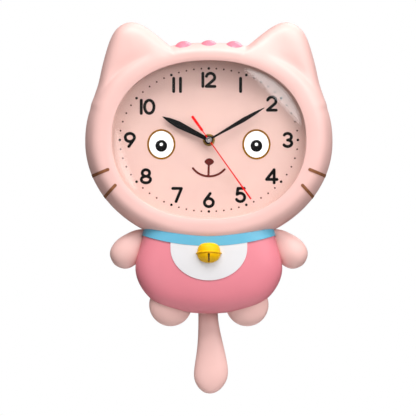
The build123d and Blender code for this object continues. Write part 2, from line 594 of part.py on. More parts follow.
with BuildPart() as movement_cover:
    block((-CASE_HALF, CASE_HALF), (HAND_Z + CASE_BOTTOM, HAND_Z + CASE_TOP), (PLATE_BACK, CASE_BACK))
    fillet(movement_cover.edges().filter_by(Axis.Y), 2.5)
    block((-inside, inside), (HAND_Z + BAY_BOTTOM, HAND_Z + BAY_TOP), (PLATE_BACK - 1, CASE_BACK + 1),
          Mode.SUBTRACT)
    bar(at(*KNOB_AT), 1.5 + PIN_CLEARANCE, PLATE_BACK - 1, CASE_BACK + 1, Mode.SUBTRACT)
    for (x, z), radius in BACK_PIVOTS:
        bar(at(x, z), radius + PIN_CLEARANCE, PIVOT_BACK_DEPTH - 0.1, CASE_BACK + 1, Mode.SUBTRACT)
    bar(at(0, PIVOT_Z), PIVOT_RADIUS, PLATE_BACK + 0.5, CASE_BACK + 1, Mode.SUBTRACT)
write(movement_cover, "movement_cover")

HOUR_PIPE, MINUTE_PIPE = 2.5, 1.7
WASHER, DIAL_WASHER, NUT, BUSHING_END = (CASE_FRONT, DIAL_BACK), 24.0, 26.2, 27.0
with BuildPart() as centre_bushing:
    bar(at(0, 0), 5.0, FRONT_WALL - 0.6, FRONT_WALL)
    bar(at(0, 0), BUSHING_RADIUS, FRONT_WALL, BUSHING_END)
    chamfer(centre_bushing.faces().sort_by(Axis.Y)[0].edges(), 0.4)
    bar(at(0, 0), HOUR_PIPE + PIN_CLEARANCE, FRONT_WALL - 2, BUSHING_END + 1, Mode.SUBTRACT)
write(centre_bushing, "centre_bushing")

with BuildPart() as rubber_washer:
    bar(at(0, 0), 6.5, *WASHER)
    bar(at(0, 0), BUSHING_RADIUS, WASHER[0] - 1, WASHER[1] + 1, Mode.SUBTRACT)
write(rubber_washer, "rubber_washer")

with BuildPart() as dial_washer:
    bar(at(0, 0), 6.0, DIAL_FRONT, DIAL_WASHER)
    bar(at(0, 0), BUSHING_RADIUS, DIAL_FRONT - 1, DIAL_WASHER + 1, Mode.SUBTRACT)
write(dial_washer, "dial_washer")

with BuildPart() as hex_nut:
    with BuildSketch(front(DIAL_WASHER)):
        with Locations(at(0, 0)):
            RegularPolygon(4.9, 6, major_radius=False)
            Circle(BUSHING_RADIUS, mode=Mode.SUBTRACT)
    extrude(amount=NUT - DIAL_WASHER)
write(hex_nut, "hex_nut")

# ---------------------------------------------------------------- wheels

seconds_phase = 0.0
intermediate_bearing = degrees(atan2(INTERMEDIATE_AT[1], INTERMEDIATE_AT[0]))
intermediate_phase = meshed(intermediate_bearing, SECONDS, seconds_phase, INTERMEDIATE_PINION)
rotor_bearing = degrees(atan2(ROTOR_AT[1] - INTERMEDIATE_AT[1], ROTOR_AT[0] - INTERMEDIATE_AT[0]))
rotor_phase = meshed(rotor_bearing, INTERMEDIATE, intermediate_phase, ROTOR_PINION)
third_phase = meshed(90, SECONDS_PINION, seconds_phase, THIRD)
centre_phase = meshed(-90, THIRD_PINION, third_phase, CENTRE)
cannon_phase = 0.0
motion_phase = meshed(180, CANNON, cannon_phase, MOTION)
hour_phase = meshed(0, MOTION_PINION, motion_phase, HOUR)
knob_phase = meshed(KNOB_BEARING, MOTION, motion_phase, KNOB_TEETH)

with BuildPart() as seconds_wheel:
    gear(SECONDS, GOING, at(0, 0), seconds_phase, 8.4, 9.4)
    gear(SECONDS_PINION, GOING, at(0, 0), seconds_phase, 9.4, 12.2)
    bar(at(0, 0), 0.5, PIVOT_BACK_DEPTH, 34.2)
write(seconds_wheel, "seconds_wheel")

with BuildPart() as intermediate_wheel:
    gear(INTERMEDIATE_PINION, GOING, at(*INTERMEDIATE_AT), intermediate_phase, 7.6, 10.8)
    gear(INTERMEDIATE, GOING, at(*INTERMEDIATE_AT), intermediate_phase, 10.8, 11.8)
    bar(at(*INTERMEDIATE_AT), 0.4, PIVOT_BACK_DEPTH, PIVOT_FRONT_DEPTH)
write(intermediate_wheel, "intermediate_wheel")

with BuildPart() as rotor:
    gear(ROTOR_PINION, GOING, at(*ROTOR_AT), rotor_phase, 10.4, 12.2)
    bar(at(*ROTOR_AT), 3.0, 12.6, 16.4)
    bar(at(*ROTOR_AT), 0.3, PIVOT_BACK_DEPTH, PIVOT_FRONT_DEPTH)
write(rotor, "rotor")

with BuildPart() as third_wheel:
    gear(THIRD, GOING, at(*THIRD_AT), third_phase, 10.6, 11.6)
    gear(THIRD_PINION, CENTRE_MODULE, at(*THIRD_AT), third_phase, 11.6, 15.0)
    bar(at(*THIRD_AT), 0.4, PIVOT_BACK_DEPTH, PIVOT_FRONT_DEPTH)
write(third_wheel, "third_wheel")

CENTRE_SEAT = 1.2
with BuildPart() as centre_wheel:
    gear(CENTRE, CENTRE_MODULE, at(0, 0), centre_phase, 13.4, 14.6)
    bar(at(0, 0), CENTRE_SEAT + PIN_CLEARANCE, 13, 15, Mode.SUBTRACT)
write(centre_wheel, "centre_wheel")

SECOND_BORE = 0.58
with BuildPart() as minute_pipe:
    bar(at(0, 0), 1.9, 12.8, 13.35)
    bar(at(0, 0), CENTRE_SEAT, 13.35, 14.65)
    bar(at(0, 0), 1.9, 14.65, 15.6)
    gear(CANNON, MOTION_MODULE, at(0, 0), cannon_phase, 15.6, 17.2)
    bar(at(0, 0), MINUTE_PIPE, 17.2, 31.6)
    bar(at(0, 0), SECOND_BORE, 12, 32, Mode.SUBTRACT)
write(minute_pipe, "minute_pipe")

with BuildPart() as motion_wheel:
    gear(MOTION, MOTION_MODULE, at(*MOTION_AT), motion_phase, 15.8, 17.1)
    gear(MOTION_PINION, HOUR_MODULE, at(*MOTION_AT), motion_phase, 17.1, 19.4)
    bar(at(*MOTION_AT), 0.8 + PIN_CLEARANCE, 15, 20, Mode.SUBTRACT)
write(motion_wheel, "motion_wheel")

with BuildPart() as hour_wheel:
    gear(HOUR, HOUR_MODULE, at(0, 0), hour_phase, 17.6, 19.1)
    bar(at(0, 0), HOUR_PIPE, 19.1, 29.2)
    bar(at(0, 0), MINUTE_PIPE + 0.08, 17, 30, Mode.SUBTRACT)
write(hour_wheel, "hour_wheel")

KNOB_BACK, KNOB_FRONT, KNOB_RADIUS, KNOB_FLUTES = 1.6, 4.4, 7.0, 24
with BuildPart() as setting_knob:
    bar(at(*KNOB_AT), KNOB_RADIUS, KNOB_BACK, KNOB_FRONT)
    with BuildSketch(front(KNOB_BACK - 0.5)):
        with Locations(at(*KNOB_AT)):
            with PolarLocations(KNOB_RADIUS + 0.2, KNOB_FLUTES):
                Circle(0.55)
    extrude(amount=KNOB_FRONT - KNOB_BACK + 1, mode=Mode.SUBTRACT)
    bar(at(*KNOB_AT), 1.5, KNOB_FRONT, 15.5)
    gear(KNOB_TEETH, MOTION_MODULE, at(*KNOB_AT), knob_phase, 15.5, 17.3)
    bar(at(*KNOB_AT), 0.8, 17.3, PIVOT_FRONT_DEPTH)
write(setting_knob, "setting_knob")

# ---------------------------------------------------------------- motor, board and cell

with BuildPart() as stator:
    block((10.6, 25.0), (HAND_Z - 4.5, HAND_Z + 25.0), STATOR)
    block((14.0, 21.0), (HAND_Z + 5.0, HAND_Z + 20.5), (STATOR[0] - 1, STATOR[1] + 1), Mode.SUBTRACT)
    bar(at(*ROTOR_AT), 3.5, STATOR[0] - 1, STATOR[1] + 1, Mode.SUBTRACT)
write(stator, "stator")

with BuildPart() as step_coil:
    with BuildSketch(Plane.XY.offset(HAND_Z + 5.4)):
        with Locations((23.0, -14.5)):
            Circle(3.9)
            Rectangle(4.0, STATOR[1] - STATOR[0], mode=Mode.SUBTRACT)
    extrude(amount=14.6)
write(step_coil, "step_coil")

with BuildPart() as circuit_board:
    block((-26.0, -9.5), (HAND_Z + 13.0, HAND_Z + 25.0), BOARD)
write(circuit_board, "circuit_board")

with BuildPart() as quartz_crystal:
    with BuildSketch(Plane.YZ.offset(-22.0)):
        with Locations((-BOARD[0] + 1.05, HAND_Z + 18.0)):
            Circle(1.0)
    extrude(amount=6.2)
write(quartz_crystal, "quartz_crystal")

cell_end = Plane.YZ.offset(CELL_BACK_END)
with BuildPart() as battery:
    with BuildSketch(cell_end):
        with Locations((-CELL_DEPTH, HAND_Z + CELL_Z)):
            Circle(CELL_RADIUS)
    extrude(amount=CELL_FRONT_END - 1.2 - CELL_BACK_END)
    fillet(battery.edges().filter_by(GeomType.CIRCLE), 0.8)
    with BuildSketch(Plane.YZ.offset(CELL_FRONT_END - 1.3)):
        with Locations((-CELL_DEPTH, HAND_Z + CELL_Z)):
            Circle(2.75)
    extrude(amount=1.3)
write(battery, "battery")

CONTACT_BAND, CONTACT_DEPTHS = (HAND_Z + CELL_Z - 4, HAND_Z + CELL_Z + 4), (8.0, 18.0)
with BuildPart() as battery_contact_positive:
    block((CELL_FRONT_END, CELL_FRONT_END + 0.5), CONTACT_BAND, CONTACT_DEPTHS)
    block((CELL_FRONT_END + 0.5, inside), CONTACT_BAND, (CONTACT_DEPTHS[1] - 1.5, CONTACT_DEPTHS[1]))
write(battery_contact_positive, "battery_contact_positive")

with BuildPart() as battery_contact_negative:
    block((-inside, 0.5 - inside), CONTACT_BAND, CONTACT_DEPTHS)
    with BuildSketch(Plane(origin=(0, -CELL_DEPTH, HAND_Z + CELL_Z), x_dir=(1, 0, 0), z_dir=(0, -1, 0))):
        with BuildLine():
            Polyline((0.5 - inside, 0), (0.5 - inside, 4.0), (-26.4, 3.4), (-26.0, 3.7), (-25.5, 3.1),
                     (-25.1, 3.3), (-24.6, 2.7), (CELL_BACK_END, 2.7), (CELL_BACK_END, 0), close=True)
        make_face()
    revolve(axis=Axis((0, -CELL_DEPTH, HAND_Z + CELL_Z), (1, 0, 0)))
write(battery_contact_negative, "battery_contact_negative")

# ---------------------------------------------------------------- hands

HOUR_HAND_AT, MINUTE_HAND_AT, SECOND_HAND_AT = (28.0, 28.6), (30.6, 31.2), (32.8, 33.3)
with BuildPart() as hour_hand:
    bar(at(0, 0), HUB, *HOUR_HAND_AT)
    hand_blade(HOUR_HAND, HOUR_ANGLE, *HOUR_HAND_AT)
    bar(at(0, 0), HOUR_PIPE, HOUR_HAND_AT[0] - 1, HOUR_HAND_AT[1] + 1, Mode.SUBTRACT)
write(hour_hand, "hour_hand")

with BuildPart() as minute_hand:
    bar(at(0, 0), HUB, *MINUTE_HAND_AT)
    hand_blade(MINUTE_HAND, MINUTE_ANGLE, *MINUTE_HAND_AT)
    bar(at(0, 0), MINUTE_PIPE, MINUTE_HAND_AT[0] - 1, MINUTE_HAND_AT[1] + 1, Mode.SUBTRACT)
write(minute_hand, "minute_hand")

CAP_TUBE, CAP_RADIUS = 1.0, 3.0
with BuildPart() as second_hand:
    bar(at(0, 0), 2.4, *SECOND_HAND_AT)
    hand_blade(SECOND_HAND, SECOND_ANGLE, *SECOND_HAND_AT)
    bar(at(0, 0), CAP_TUBE, SECOND_HAND_AT[0] - 1, SECOND_HAND_AT[1] + 1, Mode.SUBTRACT)
write(second_hand, "second_hand")

with BuildPart() as second_hand_cap:
    bar(at(0, 0), CAP_RADIUS, SECOND_HAND_AT[1], 34.4)
    chamfer(second_hand_cap.faces().sort_by(Axis.Y)[0].edges(), 0.3)
    bar(at(0, 0), CAP_TUBE, 32.1, SECOND_HAND_AT[1])
    bar(at(0, 0), 0.5, 32.0, 34.2, Mode.SUBTRACT)
    bar(at(0, 0), 0.9, 34.2, 35.0, Mode.SUBTRACT)
write(second_hand_cap, "second_hand_cap")

# ---------------------------------------------------------------- pendulum

with BuildPart() as drive_coil:
    bar(at(0, MAGNET_Z), DRIVE_COIL_RADIUS, *DRIVE_COIL)
    bar(at(0, MAGNET_Z), COIL_CORE_RADIUS, DRIVE_COIL[0] - 1, DRIVE_COIL[1] + 1, Mode.SUBTRACT)
write(drive_coil, "drive_coil")

with BuildPart() as pendulum_pivot_pin:
    bar(at(0, PIVOT_Z), PIVOT_RADIUS, PLATE_BACK + 0.6, PIVOT_FRONT_DEPTH)
write(pendulum_pivot_pin, "pendulum_pivot_pin")

ARM_HALF, EYE_RADIUS, HOOK_RADIUS, HOOK_END = 2.6, 3.6, 1.5, 7.2
with BuildPart() as pendulum_hanger:
    bar(at(0, PIVOT_Z), EYE_RADIUS, *HANGER)
    block((-ARM_HALF, ARM_HALF), (HOOK_Z - 2, HAND_Z + PIVOT_Z), HANGER)
    bar(at(0, MAGNET_Z), MAGNET_RADIUS + 2, *HANGER)
    bar(at(0, PIVOT_Z), PIVOT_RADIUS + PIVOT_CLEARANCE, HANGER[0] - 1, HANGER[1] + 1, Mode.SUBTRACT)
    bar(at(0, MAGNET_Z), MAGNET_RADIUS, HANGER[0] - 1, HANGER[1] + 1, Mode.SUBTRACT)
    bar((0, HOOK_Z), HOOK_RADIUS, HOOK_END, HANGER[0])
write(pendulum_hanger, "pendulum_hanger")

with BuildPart() as pendulum_magnet:
    bar(at(0, MAGNET_Z), MAGNET_RADIUS, *HANGER)
write(pendulum_magnet, "pendulum_magnet")

with BuildPart() as pendulum_rod:
    bar((0, HOOK_Z), EYE_RADIUS, *ROD)
    block((-ROD_HALF, ROD_HALF), (ROD_END_Z, HOOK_Z), ROD)
    bar((0, HOOK_Z), HOOK_RADIUS, ROD[0] - 1, ROD[1] + 1, Mode.SUBTRACT)
    bar((0, TAIL_PEG_Z), 1.2, ROD[0] - 1, ROD[1] + 1, Mode.SUBTRACT)
write(pendulum_rod, "pendulum_rod")


def tail_volume(sections, wall):
    """A loft of ellipses down the tail, each smaller all round by a wall thickness."""
    with BuildPart() as solid:
        for z, half, shift in sections:
            depth = TAIL_FULL_DEPTH * (half / TAIL_FULL) ** TAIL_ROUNDING
            with BuildSketch(Plane.XY.offset(z)):
                with Locations((shift, -TAIL_DEPTH)):
                    Ellipse(depth - wall, half - wall, rotation=90)
        loft()
    return solid.part


# The top is solid round the rod, and the hollow stops short of the rounded end
tail_outer = tail_volume(TAIL_SECTIONS, 0)
tail_hollow = tail_volume(TAIL_SECTIONS[3:-1], TAIL_WALL)
for name, near, far in (("tail_front", TAIL_DEPTH, 30), ("tail_back", -20, TAIL_DEPTH)):
    with BuildPart() as half_tail:
        add(tail_outer)
        add(tail_hollow, mode=Mode.SUBTRACT)
        block((-40, 40), (-340, -220), (near, far), Mode.INTERSECT)
        if name == "tail_front":
            block((-ROD_HALF, ROD_HALF), (ROD_END_Z, -220), ROD, Mode.SUBTRACT)
        else:
            bar((0, TAIL_PEG_Z), 1.2, ROD[0], ROD[1])
    write(half_tail, name)
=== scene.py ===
import json
from math import atan2, cos, hypot, pi, radians, sin

import bmesh
import bpy
import numpy as np
from mathutils import Matrix, Vector
from mathutils.geometry import delaunay_2d_cdt


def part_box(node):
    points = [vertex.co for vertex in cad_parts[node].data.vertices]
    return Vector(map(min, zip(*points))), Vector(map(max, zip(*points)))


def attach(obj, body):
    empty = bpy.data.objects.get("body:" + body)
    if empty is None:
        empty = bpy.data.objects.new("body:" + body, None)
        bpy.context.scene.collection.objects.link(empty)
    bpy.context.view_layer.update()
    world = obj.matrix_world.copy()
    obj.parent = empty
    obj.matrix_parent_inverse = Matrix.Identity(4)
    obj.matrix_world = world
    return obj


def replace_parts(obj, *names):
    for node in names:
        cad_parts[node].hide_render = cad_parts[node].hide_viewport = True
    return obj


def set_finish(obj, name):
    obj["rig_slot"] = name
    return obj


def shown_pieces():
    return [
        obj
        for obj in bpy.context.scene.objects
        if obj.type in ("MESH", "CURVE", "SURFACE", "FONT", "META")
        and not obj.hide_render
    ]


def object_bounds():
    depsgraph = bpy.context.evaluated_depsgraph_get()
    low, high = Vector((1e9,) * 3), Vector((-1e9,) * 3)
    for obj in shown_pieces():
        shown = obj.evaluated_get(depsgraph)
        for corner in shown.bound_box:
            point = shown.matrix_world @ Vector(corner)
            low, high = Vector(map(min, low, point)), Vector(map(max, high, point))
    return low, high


# The looks of a wall clock in the shape of a sitting cat. Shapes are worked out in millimetres as
# (x, depth, z): x to the right, depth out from the wall, z up, all from the hanging point.

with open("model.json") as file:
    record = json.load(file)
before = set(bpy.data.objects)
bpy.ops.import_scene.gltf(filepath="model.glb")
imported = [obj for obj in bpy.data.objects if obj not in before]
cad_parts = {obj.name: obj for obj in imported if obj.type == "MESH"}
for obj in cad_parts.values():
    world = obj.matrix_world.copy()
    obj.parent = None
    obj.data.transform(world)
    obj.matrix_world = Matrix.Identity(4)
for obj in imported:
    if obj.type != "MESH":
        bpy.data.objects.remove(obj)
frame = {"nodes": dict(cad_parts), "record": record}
cad_low, cad_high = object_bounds()
MM = 0.001


def corners(node):
    """Lowest and highest corner of a CAD node as (x, depth, z) in millimetres."""
    low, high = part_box(node)
    return (low.x / MM, -high.y / MM, low.z / MM), (high.x / MM, -low.y / MM, high.z / MM)


# ---------------------------------------------------------------- sizes

WALL = 2.4
RIM_INSET = 2.8                               # inner edge of the shells' rear rims
RIM_DEPTH = 0.8
COVER_SEAT, SEAT_STEP = 2.6, 0.4              # where the rear cover rests in the shells

HAND_Z = (corners("second_hand_cap")[0][2] + corners("second_hand_cap")[1][2]) / 2
HEAD_SIDE = corners("head_shell")[1][0]
HEAD_Z = HAND_Z - 2                           # where the head is widest
HEAD_TOP, HEAD_BOTTOM = 99.5, HEAD_Z - corners("head_shell")[0][2]       # from there up and down
OPENING_SIDE, OPENING_HEIGHT, OVAL_POWER = 97.0, 79.0, 2.2
BEZEL = 27.0                                  # from the head's outline to the dial opening
HEAD_PROFILE = [(0.8, 0.8), (0.1, 8), (0, 15), (0.3, 22), (1.8, 30), (4.8, 38), (8.8, 43.4),
                (13.5, 45.6), (18, 46), (22.5, 45.9), (27, 45.2)]        # inset, depth
SIDE_DEPTH, CREST_DEPTH, EAR_DEPTH = 15.0, 46.0, 39.0
LIP_INSET, LIP_DEPTH = 23.3, 37.2

EAR_CENTRE, EAR_HALF = (78.0, 6.0), 38.0      # the ear's insets shrink it towards this point
EAR_OUTLINE = [(77.7, 44.0), (91.5, 38.0), (98.5, 27), (103.5, 12), (107.8, -5), (111, -19), (113.2, -26),
               (115.3, -33), (117.1, -40), (110, -50), (62, -12), (34, 13), (47, 27), (60, 37)]
EAR_PROFILE = [(0, 15), (0.3, 20), (1.2, 25), (3.5, 31.5), (7.5, 35.8), (13, 38), (20, 38.9), (38, 39)]
# Depth against the ring's inset where an ear joins it: a clear crease outside, none inside
CREASE = [(-60, 39), (-30, 39), (-6, 38.9), (1, 38.3), (3.4, 38.7), (5.4, 40.7), (7.6, 42.9), (10.4, 44.8)]
NO_CREASE = [(-60, 39), (-30, 39.3), (-20, 39.9), (-10, 41.2), (0, 43), (5, 44), (9, 44.8)]
CREST = [(13.5, 45.6), (18, 46), (22.5, 45.9), (27, 45.2)]
CREST_INSET = 18.0
CREASE_CLEAR, CREASE_GONE = 94.0, 52.0        # how far to the side the crease is full, and where it ends
RING_PLAIN, RING_STRETCHED = 4.0, 14.0        # insets between which the profile fits itself to the width
EAR_TURN, EAR_BLEND = [22, 58], [4, 34]       # degrees up from the side, and the blend's length there
HEAD_SIDE_TOP, BODY_SIDE_TOP = 20.0, 22.0     # depth that the side walls' rear edges leave alone
HEAD_CENTRE_DEPTH, BLOCK_BACK = 45.0, 5.0     # of the solid blocks that cut or make other pieces

BODY_Z, BODY_HALF = -185.0, 73.2              # middle of the body and its half width
BODY_OUTLINE = [(0, -247.1), (31, -244.3), (52, -236.8), (66, -223), (72.9, -205), (70.6, -187),
                (65.6, -170), (58, -152), (30, -144), (0, -143.5)]
BODY_PROFILE = [(0.9, 0.8), (0, 8), (0, 24), (1.1, 29), (4.4, 34), (11.5, 38.5), (23, 41.4), (38, 42.8),
                (52, 43.2), (64, 43.3)]
COLLAR_PROUD, PANEL_PROUD, WHISKER_PROUD = 1.0, 0.7, 0.3

# Height, half width and shift to the side
TAIL_SECTIONS = [(-234, 7.5, -0.8), (-240, 9.3, -0.8), (-250, 9.9, -0.7), (-264, 10.9, 0.2),
                 (-279, 13.0, 1.5), (-294, 15.6, 2.2), (-304, 17.0, 2.2), (-312, 16.7, 1.9),
                 (-319, 13.9, 1.5), (-324.5, 9.2, 1.2), (-327.2, 4.6, 1.0), (-327.9, 1.2, 1.0)]
TAIL_DEPTH, TAIL_FULL, TAIL_FULL_DEPTH, TAIL_ROUNDING = 8.0, 17.0, 7.4, 0.55
TAIL_ROWS, TAIL_STEPS, TAIL_SEAM, TAIL_JOINT = 72, 33, 0.25, 0.04

# ---------------------------------------------------------------- curves and rows of points


def curve(points, count, closed=False):
    """Points on the smooth cubic curve through the given points, evenly spaced by chord length."""
    p = np.array(points, float)
    n = len(p)
    chord = np.linalg.norm(np.roll(p, -1, 0) - p, axis=1)
    system, right = np.eye(n), np.zeros_like(p)
    for i in range(n):
        if closed or 0 < i < n - 1:
            before, after = chord[i - 1], chord[i]
            system[i, i - 1], system[i, i], system[i, (i + 1) % n] = before, 2 * (before + after), after
            right[i] = 6 * ((p[(i + 1) % n] - p[i]) / after - (p[i] - p[i - 1]) / before)
    bend = np.linalg.solve(system, right)
    knots = np.concatenate([[0], np.cumsum(chord if closed else chord[:-1])])
    t = np.linspace(0, knots[-1], count, endpoint=not closed)
    i = np.clip(np.searchsorted(knots, t, side="right") - 1, 0, len(knots) - 2)
    j, h = (i + 1) % n, chord[i][:, None]
    u = (t - knots[i])[:, None]
    v = h - u
    return (bend[i] * v ** 3 + bend[j] * u ** 3) / (6 * h) + (p[i] / h - bend[i] * h / 6) * v \
        + (p[j] / h - bend[j] * h / 6) * u


RING_STEPS, EAR_STEPS, FINE_STEPS = 720, 400, 600


def oval(side, height, power, angle):
    """Points on a superellipse about its centre."""
    x = np.sign(np.cos(angle)) * np.abs(np.cos(angle)) ** (2 / power) * side
    z = np.sign(np.sin(angle)) * np.abs(np.sin(angle)) ** (2 / power) * height
    return np.stack([x, z], axis=-1)


def ring(inset):
    """The head's outline at an inset: 0 is the outer outline, BEZEL the dial opening."""
    angle = np.linspace(0, 2 * pi, RING_STEPS, endpoint=False)
    above = np.sin(angle) >= 0
    outer = np.where(above[:, None], oval(HEAD_SIDE, HEAD_TOP, OVAL_POWER, angle),
                     oval(HEAD_SIDE, HEAD_BOTTOM, 2, angle)) + (0, HEAD_Z)
    inner = oval(OPENING_SIDE, OPENING_HEIGHT, OVAL_POWER, angle) + (0, HAND_Z)
    return outer + (inner - outer) * inset / BEZEL


def ear(side, inset):
    """An ear's outline at an inset; side is -1 for the left ear, 1 for the right."""
    outline = curve(EAR_OUTLINE, EAR_STEPS, closed=True)
    return (EAR_CENTRE + (outline - EAR_CENTRE) * (1 - inset / EAR_HALF)) * (side, 1)


def reach(outline, centre, directions):
    """How far rays from a centre go before they last leave an outline; 0 for a ray that misses it."""
    p = outline - centre
    edge = np.roll(p, -1, 0) - p
    d = directions[:, None, :]
    turn = d[..., 0] * edge[:, 1] - d[..., 1] * edge[:, 0]
    turn = np.where(np.abs(turn) < 1e-12, 1e-12, turn)
    along_edge = (p[:, 1] * d[..., 0] - p[:, 0] * d[..., 1]) / -turn
    along_ray = (p[:, 0] * edge[:, 1] - p[:, 1] * edge[:, 0]) / turn
    hit = (along_edge >= 0) & (along_edge <= 1) & (along_ray > 0)
    return np.where(hit, along_ray, 0).max(axis=1)


def soft_max(a, b, softness):
    """The larger of two values, with a rounded change-over."""
    near = np.clip(1 - np.abs(a - b) / softness, 0, 1)
    return np.maximum(a, b) + near ** 3 * softness / 6


def rows_of(xz, depth):
    """Points (x, depth, z) from (x, z) points and their depths."""
    return np.stack([xz[..., 0], np.broadcast_to(depth, xz.shape[:-1]), xz[..., 1]], axis=-1)


def shifted(rows, distance):
    """Rows of points moved square to the surface that they make, outwards for a positive distance."""
    around = np.roll(rows, -1, 1) - np.roll(rows, 1, 1)
    normal = np.cross(np.gradient(rows, axis=0), around)
    normal /= np.maximum(np.linalg.norm(normal, axis=2, keepdims=True), 1e-9)
    return rows + normal * distance


# ---------------------------------------------------------------- meshes


def mesh_object(name, points, faces, smooth_below=35):
    """A mesh object from (x, depth, z) points in millimetres, shaded smooth over its gentler edges."""
    mesh = bpy.data.meshes.new(name)
    p = np.array(points, float) * MM
    mesh.from_pydata(np.stack([p[:, 0], -p[:, 1], p[:, 2]], axis=1).tolist(), [], faces)
    mesh.shade_smooth()
    mesh.set_sharp_from_angle(angle=radians(smooth_below))
    made = bpy.data.objects.new(name, mesh)
    bpy.context.scene.collection.objects.link(made)
    return made


def skin(name, rows, first=None, last=None, smooth_below=35):
    """A closed mesh from rows of points, rear to front. Each row closes on itself; the rows end in the
    points first and last, or close on each other where there are none."""
    count, width = rows.shape[:2]
    points = rows.reshape(-1, 3).tolist()
    faces = []
    for i in range(count if first is None else count - 1):
        for j in range(width):
            near, far = i * width, (i + 1) % count * width
            k = (j + 1) % width
            faces.append((near + j, near + k, far + k, far + j))
    if first is not None:
        points += [list(first), list(last)]
        top = (count - 1) * width
        for j in range(width):
            k = (j + 1) % width
            faces.append((len(points) - 2, k, j))
            faces.append((len(points) - 1, top + j, top + k))
    return mesh_object(name, points, faces, smooth_below)


def prism(name, outline, near, far):
    """A straight block with any outline, counter-clockwise from the front, between two depths."""
    n = len(outline)
    points = [(x, near, z) for x, z in outline] + [(x, far, z) for x, z in outline]
    faces = [(i, (i + 1) % n, n + (i + 1) % n, n + i) for i in range(n)]
    return mesh_object(name, points, faces + [tuple(range(n, 2 * n)), tuple(reversed(range(n)))])


def discard(*objects):
    """Take away solids that were only there to cut or make other pieces."""
    for o in objects:
        bpy.data.objects.remove(o)


def combined(piece, other, operation, smooth_below=35):
    """The piece's mesh, cut by another or kept inside it."""
    change = piece.modifiers.new("cut", "BOOLEAN")
    change.operation, change.object, change.solver = operation, other, "EXACT"
    seen = piece.evaluated_get(bpy.context.evaluated_depsgraph_get())
    mesh = bpy.data.meshes.new_from_object(seen)
    piece.modifiers.clear()
    piece.data = mesh
    mesh.shade_smooth()
    mesh.set_sharp_from_angle(angle=radians(smooth_below))
    return piece


# ---------------------------------------------------------------- head

HEAD_STEPS = 600
angles = np.linspace(0, 2 * pi, HEAD_STEPS, endpoint=False)
rays = np.stack([np.cos(angles), np.sin(angles)], axis=1)
head_centre = np.array([0.0, HAND_Z])
opening_reach = reach(ring(BEZEL), head_centre, rays)
ring_reach = reach(ring(0), head_centre, rays)
ear_reach = np.maximum(reach(ear(-1, 0), head_centre, rays), reach(ear(1, 0), head_centre, rays))
OUTLINE_SOFTNESS = 5.0
head_reach = soft_max(ring_reach, ear_reach, OUTLINE_SOFTNESS)


def along(distance):
    """(x, z) points on every ray at a distance from the dial's centre."""
    return head_centre + rays * distance[:, None]


def gap_to(outline, xz):
    """Distance from points to a closed outline."""
    start, edge = outline, np.roll(outline, -1, 0) - outline
    length = (edge ** 2).sum(axis=1)
    offset = xz[:, None, :] - start
    share = np.clip((offset * edge).sum(axis=2) / length, 0, 1)
    return np.linalg.norm(offset - share[..., None] * edge, axis=2).min(axis=1)


def smooth_step(value, low, high):
    """0 up to low, 1 from high on, and a smooth change between."""
    t = np.clip((value - low) / (high - low), 0, 1)
    return t * t * (3 - 2 * t)


def fine(points):
    """A profile's smooth curve as its two columns, in rising order."""
    dense = curve(points, FINE_STEPS)
    return np.maximum.accumulate(dense[:, 0]), dense[:, 1]


ring_profile, ear_profile = fine(HEAD_PROFILE[2:]), fine(EAR_PROFILE)
crease_profile, plain_profile = fine(CREASE + CREST), fine(NO_CREASE + CREST)
head_outline = along(head_reach)
side_turn = np.degrees(np.arctan2(np.abs(rays[:, 1]), np.abs(rays[:, 0])))
ear_share = smooth_step(head_reach - ring_reach, 0, np.interp(side_turn, EAR_TURN, EAR_BLEND))
SPREAD_STEPS = 35                             # evens the change-over out around the head
spread = np.hanning(SPREAD_STEPS) / np.hanning(SPREAD_STEPS).sum()
ear_share = sum(weight * np.roll(ear_share, step - SPREAD_STEPS // 2) for step, weight in enumerate(spread))


def head_depth(xz):
    """Depth of the head's face at one point on every ray: the ring, and the ears that grow out of it."""
    distance = np.linalg.norm(xz - head_centre, axis=1)
    stretched = BEZEL * (head_reach - distance) / (head_reach - opening_reach)
    edge = gap_to(head_outline, xz)
    scaled = edge * BEZEL / (ring_reach - opening_reach)
    fitted = scaled + (stretched - scaled) * smooth_step(stretched, RING_PLAIN, RING_STRETCHED)
    plain_ring = np.interp(fitted, *ring_profile)
    ring_inset = BEZEL * (ring_reach - distance) / (ring_reach - opening_reach)
    fade = smooth_step(-np.abs(xz[:, 0]), -CREASE_CLEAR, -CREASE_GONE)
    creased, plain = np.interp(ring_inset, *crease_profile), np.interp(ring_inset, *plain_profile)
    face = creased * (1 - fade) + plain * fade
    ear_rise = (np.interp(edge, *ear_profile) - SIDE_DEPTH) / (EAR_DEPTH - SIDE_DEPTH)
    ring_rise = (np.interp(edge, *ring_profile) - SIDE_DEPTH) / (CREST_DEPTH - SIDE_DEPTH)
    ring_rise = np.where(edge > CREST_INSET, 1, ring_rise)
    high = np.clip((face - EAR_DEPTH) / (CREST_DEPTH - EAR_DEPTH), 0, 1)
    with_ear = SIDE_DEPTH + (face - SIDE_DEPTH) * (ear_rise + (ring_rise - ear_rise) * high)
    return plain_ring + (with_ear - plain_ring) * ear_share


# Rear edge of the head's side wall: raised where the body's cover and the tail's rod pass under it
BODY_GAP, ROD_GAP, ROD_CLEAR = 62.0, 15.5, 16.3
in_body = (head_outline[:, 1] < HAND_Z) & (np.abs(head_outline[:, 0]) < BODY_GAP)
rear_edge = np.where(in_body, COVER_SEAT, RIM_DEPTH)
rear_edge = np.where(in_body & (np.abs(head_outline[:, 0]) < ROD_GAP), ROD_CLEAR, rear_edge)


def from_edge(depth, edge, top):
    """A depth on a side wall, squeezed so that the wall starts at its rear edge."""
    return np.where(depth < top, top - (top - depth) * (top - edge) / (top - RIM_DEPTH), depth)


SIDE_ROWS = 7
side_wall = curve(HEAD_PROFILE[:3], SIDE_ROWS)
